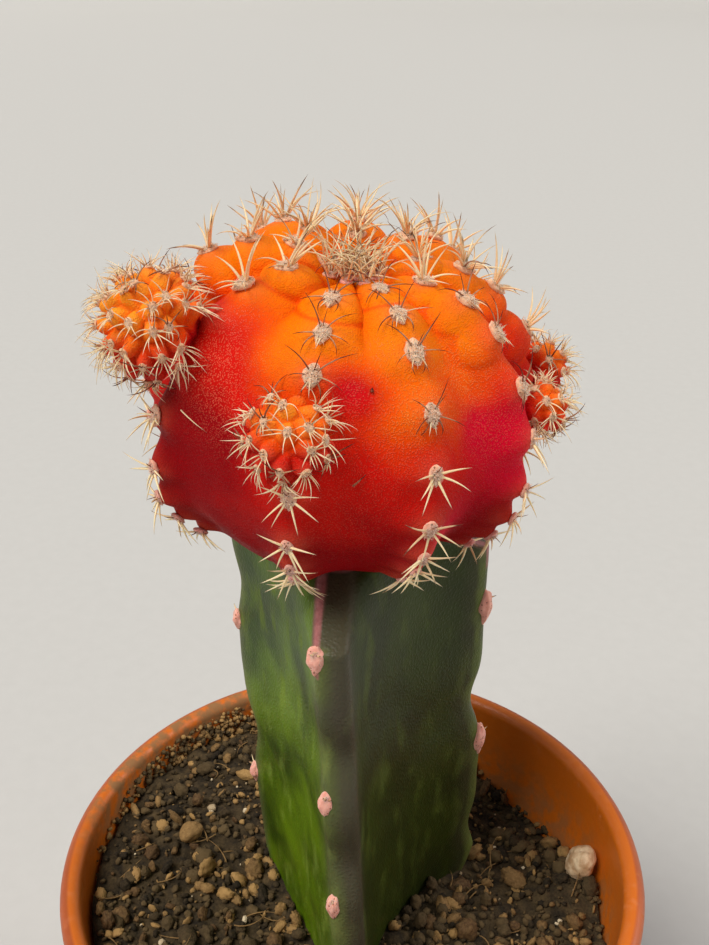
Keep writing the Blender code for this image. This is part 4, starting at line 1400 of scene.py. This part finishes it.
def build_bit(name, material, roughness, seed):
    low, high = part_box(name)
    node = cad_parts[name]
    middle = np.array((low + high) / 2.0)
    mesh = bmesh.new()
    mesh.from_mesh(node.data)
    bmesh.ops.remove_doubles(mesh, verts=mesh.verts, dist=0.01 * MM)
    bmesh.ops.subdivide_edges(mesh, edges=mesh.edges, cuts=3, use_grid_fill=True, smooth=0.6)
    bmesh.ops.triangulate(mesh, faces=mesh.faces)
    points = np.array([vert.co[:] for vert in mesh.verts])
    faces = [[vert.index for vert in face.verts] for face in mesh.faces]
    mesh.free()
    rough = lumps(points, 600.0, seed) * 0.7 + lumps(points, 1700.0, seed) * 0.3
    points = points + unit(points - middle) * (rough * roughness)[:, None]
    tone = np.full(len(points), 0.45)
    return make_piece("loose_" + name, points, faces, material, {"tone": tone}, [name])


build_bit("white_pebble", PEBBLE, 0.35 * MM, 3.0)
for number in (1, 2, 3):
    build_bit(f"bark_chip_{number}", BARK_BITS, 0.45 * MM, 10.0 * number)
print("loose bits built")

# %% [markdown]
# ## Pot
# A nursery pot is injection-moulded in one piece: thin tapered wall, a collar that stiffens the top, a
# rolled rim and drain holes. Its section is a short list of corners, and the curved stretches are arcs. The
# section is spun round the axis, and the holes are cut with a Boolean that is applied at once. The plastic
# is terracotta-coloured all through, scuffed along the rim, with dried soil splashed above the bed. Its
# inside wall is painted a brighter orange, for light that shines through the thin plastic.

# %% Pot material
def make_pot_material():
    material, make, shader = new_material(
        "pot_plastic", Roughness=0.45, Subsurface_Weight=0.05, Subsurface_Scale=0.0015)
    cloud = make.group(PATCHES, Scale=60.0, Start=0.25, Full=0.75)
    colour = make.mix(cloud, paint(162, 74, 28), paint(184, 90, 38))
    # painted light: the inside wall is a brighter orange, for light that shines through the thin plastic
    colour = make.mix(make.stored("inside"), colour, paint(206, 104, 18))
    scuff = make.group(PATCHES, Scale=700.0, Start=0.5, Full=0.75)
    worn = make.math("MULTIPLY", scuff, make.stored("rim"))
    colour = make.coat(colour, worn, 0.2, paint(214, 140, 92))
    film = make.group(PATCHES, Scale=420.0, Start=0.36, Full=0.62)
    dirt = make.math("MULTIPLY", film, make.stored("dirt"))
    colour = make.coat(colour, dirt, 0.85, paint(128, 98, 60))
    make.feed(shader["Base Color"], colour)
    make.feed(shader["Roughness"], make.spread(make.math("ADD", dirt, worn), 0.0, 1.0, 0.4, 0.8))
    make.bump(shader, make.noise(900.0, detail=2.0), 0.00006)
    return material


POT_PLASTIC = make_pot_material()
print("pot material:", POT_PLASTIC.name)

# %% [markdown]
# The section starts at the middle of the floor, climbs the inside of the wall, turns over the rolled rim
# and comes down the collar and the outside.

# %% Section of the pot
POT_SPOKES = 180
DRAIN_HOLES = 6
DRAIN_RADIUS = 2.6 * MM
DRAIN_CIRCLE = 19.0 * MM
MIDDLE_HOLE = 0.4 * MM        # closed by one face, inside and below


def arc(centre, radius, start, end, steps):
    """Points of an arc in the section, angles in degrees from outward towards up."""
    angles = np.radians(np.linspace(start, end, steps))
    return [(centre[0] + radius * math.cos(a), centre[1] + radius * math.sin(a)) for a in angles]


def pot_section():
    """Corners and arcs of the wall, from the middle of the floor up the inside and down the outside."""
    collar_foot = POT_HEIGHT - COLLAR_HEIGHT
    bead = (RIM_RADIUS - BEAD_RADIUS, RIM_PLANE)
    points = [(MIDDLE_HOLE, FLOOR)]
    points += [(share * inner_radius(FLOOR), FLOOR) for share in (0.3, 0.6, 0.9)]
    points += arc((inner_radius(FLOOR) - 1.2 * MM, FLOOR + 1.2 * MM), 1.2 * MM, -90.0, 0.0, 5)
    points += [(inner_radius(h), h) for h in np.linspace(6.0 * MM, collar_foot, 12)]
    points += [(inner_radius(collar_foot) + 0.6 * MM, collar_foot + 2.0 * MM)]
    points += [(bead[0] - 1.7 * MM, RIM_PLANE - 3.0 * MM)]
    points += arc(bead, BEAD_RADIUS, 180.0, -55.0, 16)
    collar = ((1.0, RIM_PLANE - 2.2 * MM), (1.05, RIM_PLANE - 4.0 * MM), (1.25, collar_foot + 1.2 * MM),
              (1.5, collar_foot + 0.4 * MM))
    points += [(RIM_RADIUS - inset * MM, height) for inset, height in collar]
    points += [(wall_radius(collar_foot) + 0.2 * MM, collar_foot)]
    points += [(wall_radius(collar_foot), collar_foot - 0.8 * MM)]
    points += [(wall_radius(h), h) for h in np.linspace(collar_foot - 4.0 * MM, 5.0 * MM, 12)]
    points += arc((BASE_RADIUS - 1.0 * MM, 1.4 * MM), 1.4 * MM, 0.0, -90.0, 6)
    points += [(share * BASE_RADIUS, 0.0) for share in (0.85, 0.5, 0.2)] + [(MIDDLE_HOLE, 0.0)]
    return np.array(points)


print("points of the section:", len(pot_section()))

# %% [markdown]
# The holes are six short rods in one mesh. The Boolean takes them out of the floor, and the rods are
# thrown away. Height and side of each point then say where the plastic is worn, where soil sticks to it,
# and where the inside is painted brighter for light through the wall.

# %% Build the pot
RIM_WEAR = 2.0 * MM           # how far down the rim is scuffed
SPLASH_DEPTH = 9.0 * MM
SPLASH_AZIMUTH = -140.0


def drain_cutter():
    bm = bmesh.new()
    for spoke in spokes(DRAIN_HOLES):
        middle = Vector(spoke * DRAIN_CIRCLE + UP * FLOOR / 2)
        bmesh.ops.create_cone(bm, cap_ends=True, segments=40, radius1=DRAIN_RADIUS, radius2=DRAIN_RADIUS,
                              depth=FLOOR * 3, matrix=Matrix.Translation(middle))
    mesh = bpy.data.meshes.new("drain_cutter")
    bm.to_mesh(mesh)
    bm.free()
    return add_object("drain_cutter", mesh)


def apply_cut(piece, cutter):
    cut = piece.modifiers.new("drain holes", "BOOLEAN")
    cut.operation = "DIFFERENCE"
    cut.object = cutter
    bpy.context.view_layer.update()
    done = bpy.data.meshes.new_from_object(piece.evaluated_get(bpy.context.evaluated_depsgraph_get()))
    piece.modifiers.clear()
    piece.data = done
    bpy.data.objects.remove(cutter, do_unlink=True)


def build_pot():
    section = pot_section()
    points = spin(section, POT_SPOKES)
    faces = closed_faces(len(section), POT_SPOKES)
    rim_row = int(np.argmax(section[:, 1]))
    # inside marks the inner wall: painted brighter for light through the plastic, and dirtied near the bed
    inside = (np.arange(len(section)).repeat(POT_SPOKES) <= rim_row).astype(float)
    height = points[:, 2]
    rim = within((height - RIM_PLANE + RIM_WEAR) / RIM_WEAR)
    heap = within(unit(points * np.array([1, 1, 0]) + 1e-9) @ compass(SPLASH_AZIMUTH))
    dirt = inside * within(1.0 - (height - RIM_PLANE + SPLASH_DEPTH) / (5.0 * MM)) * 0.6
    splash = smooth_step(heap, 0.55, 0.95)
    splash = splash * smooth_step(height, RIM_PLANE - SPLASH_DEPTH, RIM_PLANE - 1.0 * MM)
    dirt = within(dirt + splash * np.where(inside > 0.5, 1.2, 0.3))
    values = {"inside": inside, "rim": rim, "dirt": dirt}
    pot = make_piece("nursery_pot", points, faces, POT_PLASTIC, values, ["pot"])
    apply_cut(pot, drain_cutter())
    return pot


POT = build_pot()
print("pot faces:", len(POT.data.polygons))

# %% [markdown]
# ## Floor, light and camera
# The plant stands on a plain pale sheet that curves up far away all round, as a photographer's paper roll
# does, so no view shows a horizon. A broad sun from the upper left models the ribs and misses the stem's
# right face, which also carries painted shade; a weaker one lights the right side, and the pale
# surroundings fill the rest.

# %% Stage and lights
def make_floor_material():
    material, make, shader = new_material("floor_card", Roughness=0.8)
    tooth = make.noise(240.0, detail=3.0)
    make.feed(shader["Base Color"], make.mix(tooth, paint(188, 187, 184), paint(194, 193, 190)))
    return material


SHEET_RADIUS = 3.6
SHEET_BEND = 1.6
SHEET_HEIGHT = 2.4
SHEET_SPOKES = 96


def build_floor():
    """A wide round sheet whose far edge curves up all round, so that no horizon line shows."""
    turns = np.radians(np.linspace(0.0, 90.0, 16))
    sweep = [(SHEET_RADIUS + SHEET_BEND * math.sin(a), SHEET_BEND * (1.0 - math.cos(a))) for a in turns]
    section = [(0.01, 0.0), (SHEET_RADIUS * 0.5, 0.0), *sweep, (sweep[-1][0], SHEET_HEIGHT)]
    faces = closed_faces(len(section), SHEET_SPOKES)[:-1]
    mesh = new_mesh("floor", spin(section, SHEET_SPOKES), faces, make_floor_material())
    floor = add_object("floor", mesh)
    floor.location.z = -0.2 * MM


def add_sun(name, azimuth, elevation, softness, strength, colour):
    """A broad parallel light, which falls on the whole floor alike."""
    lamp = bpy.data.lights.new(name, "SUN")
    lamp.energy = strength
    lamp.angle = math.radians(softness)
    lamp.color = colour
    holder = add_object(name, lamp)
    holder.rotation_euler = (-Vector(direction(azimuth, elevation))).to_track_quat("-Z", "Y").to_euler()


build_floor()
add_sun("key", -50.0, 56.0, 30.0, 3.0, (1.0, 0.96, 0.90))
add_sun("fill", 96.0, 34.0, 30.0, 1.2, (1.0, 0.97, 0.94))
WORLD = bpy.data.worlds.new("studio")
bpy.context.scene.world = WORLD
WORLD.use_nodes = True
BACKGROUND = WORLD.node_tree.nodes["Background"].inputs
BACKGROUND["Color"].default_value = (0.86, 0.88, 0.92, 1.0)
BACKGROUND["Strength"].default_value = 0.30
bpy.context.scene.view_settings.view_transform = "Standard"
print("lights:", [lamp.name for lamp in bpy.data.lights])

# %% [markdown]
# The camera stands close in front, a little above the crown, and looks down far enough to see into the
# pot. Everything is measured from the rim, so it keeps its view if the pot changes height.

# %% Camera
SENSOR = 36.0
LENS = 40.57143
CAMERA_BACK = 117.5 * MM
CAMERA_UP = 121.7 * MM
CAMERA_RIGHT = 0.3 * MM
CAMERA_PITCH = 26.4


def add_camera():
    data = bpy.data.cameras.new("camera")
    data.sensor_width = SENSOR
    data.lens = LENS
    data.clip_start = 0.005
    camera = add_object("camera", data)
    camera.location = (CAMERA_RIGHT, -CAMERA_BACK, RIM_PLANE + CAMERA_UP)
    camera.rotation_euler = (math.radians(90.0 - CAMERA_PITCH), 0.0, 0.0)
    bpy.context.scene.camera = camera


add_camera()
print("camera at", tuple(round(v, 4) for v in bpy.context.scene.camera.location))

# %% [markdown]
# Last, the scene is brought up to date.

# %% Finish
bpy.context.view_layer.update()
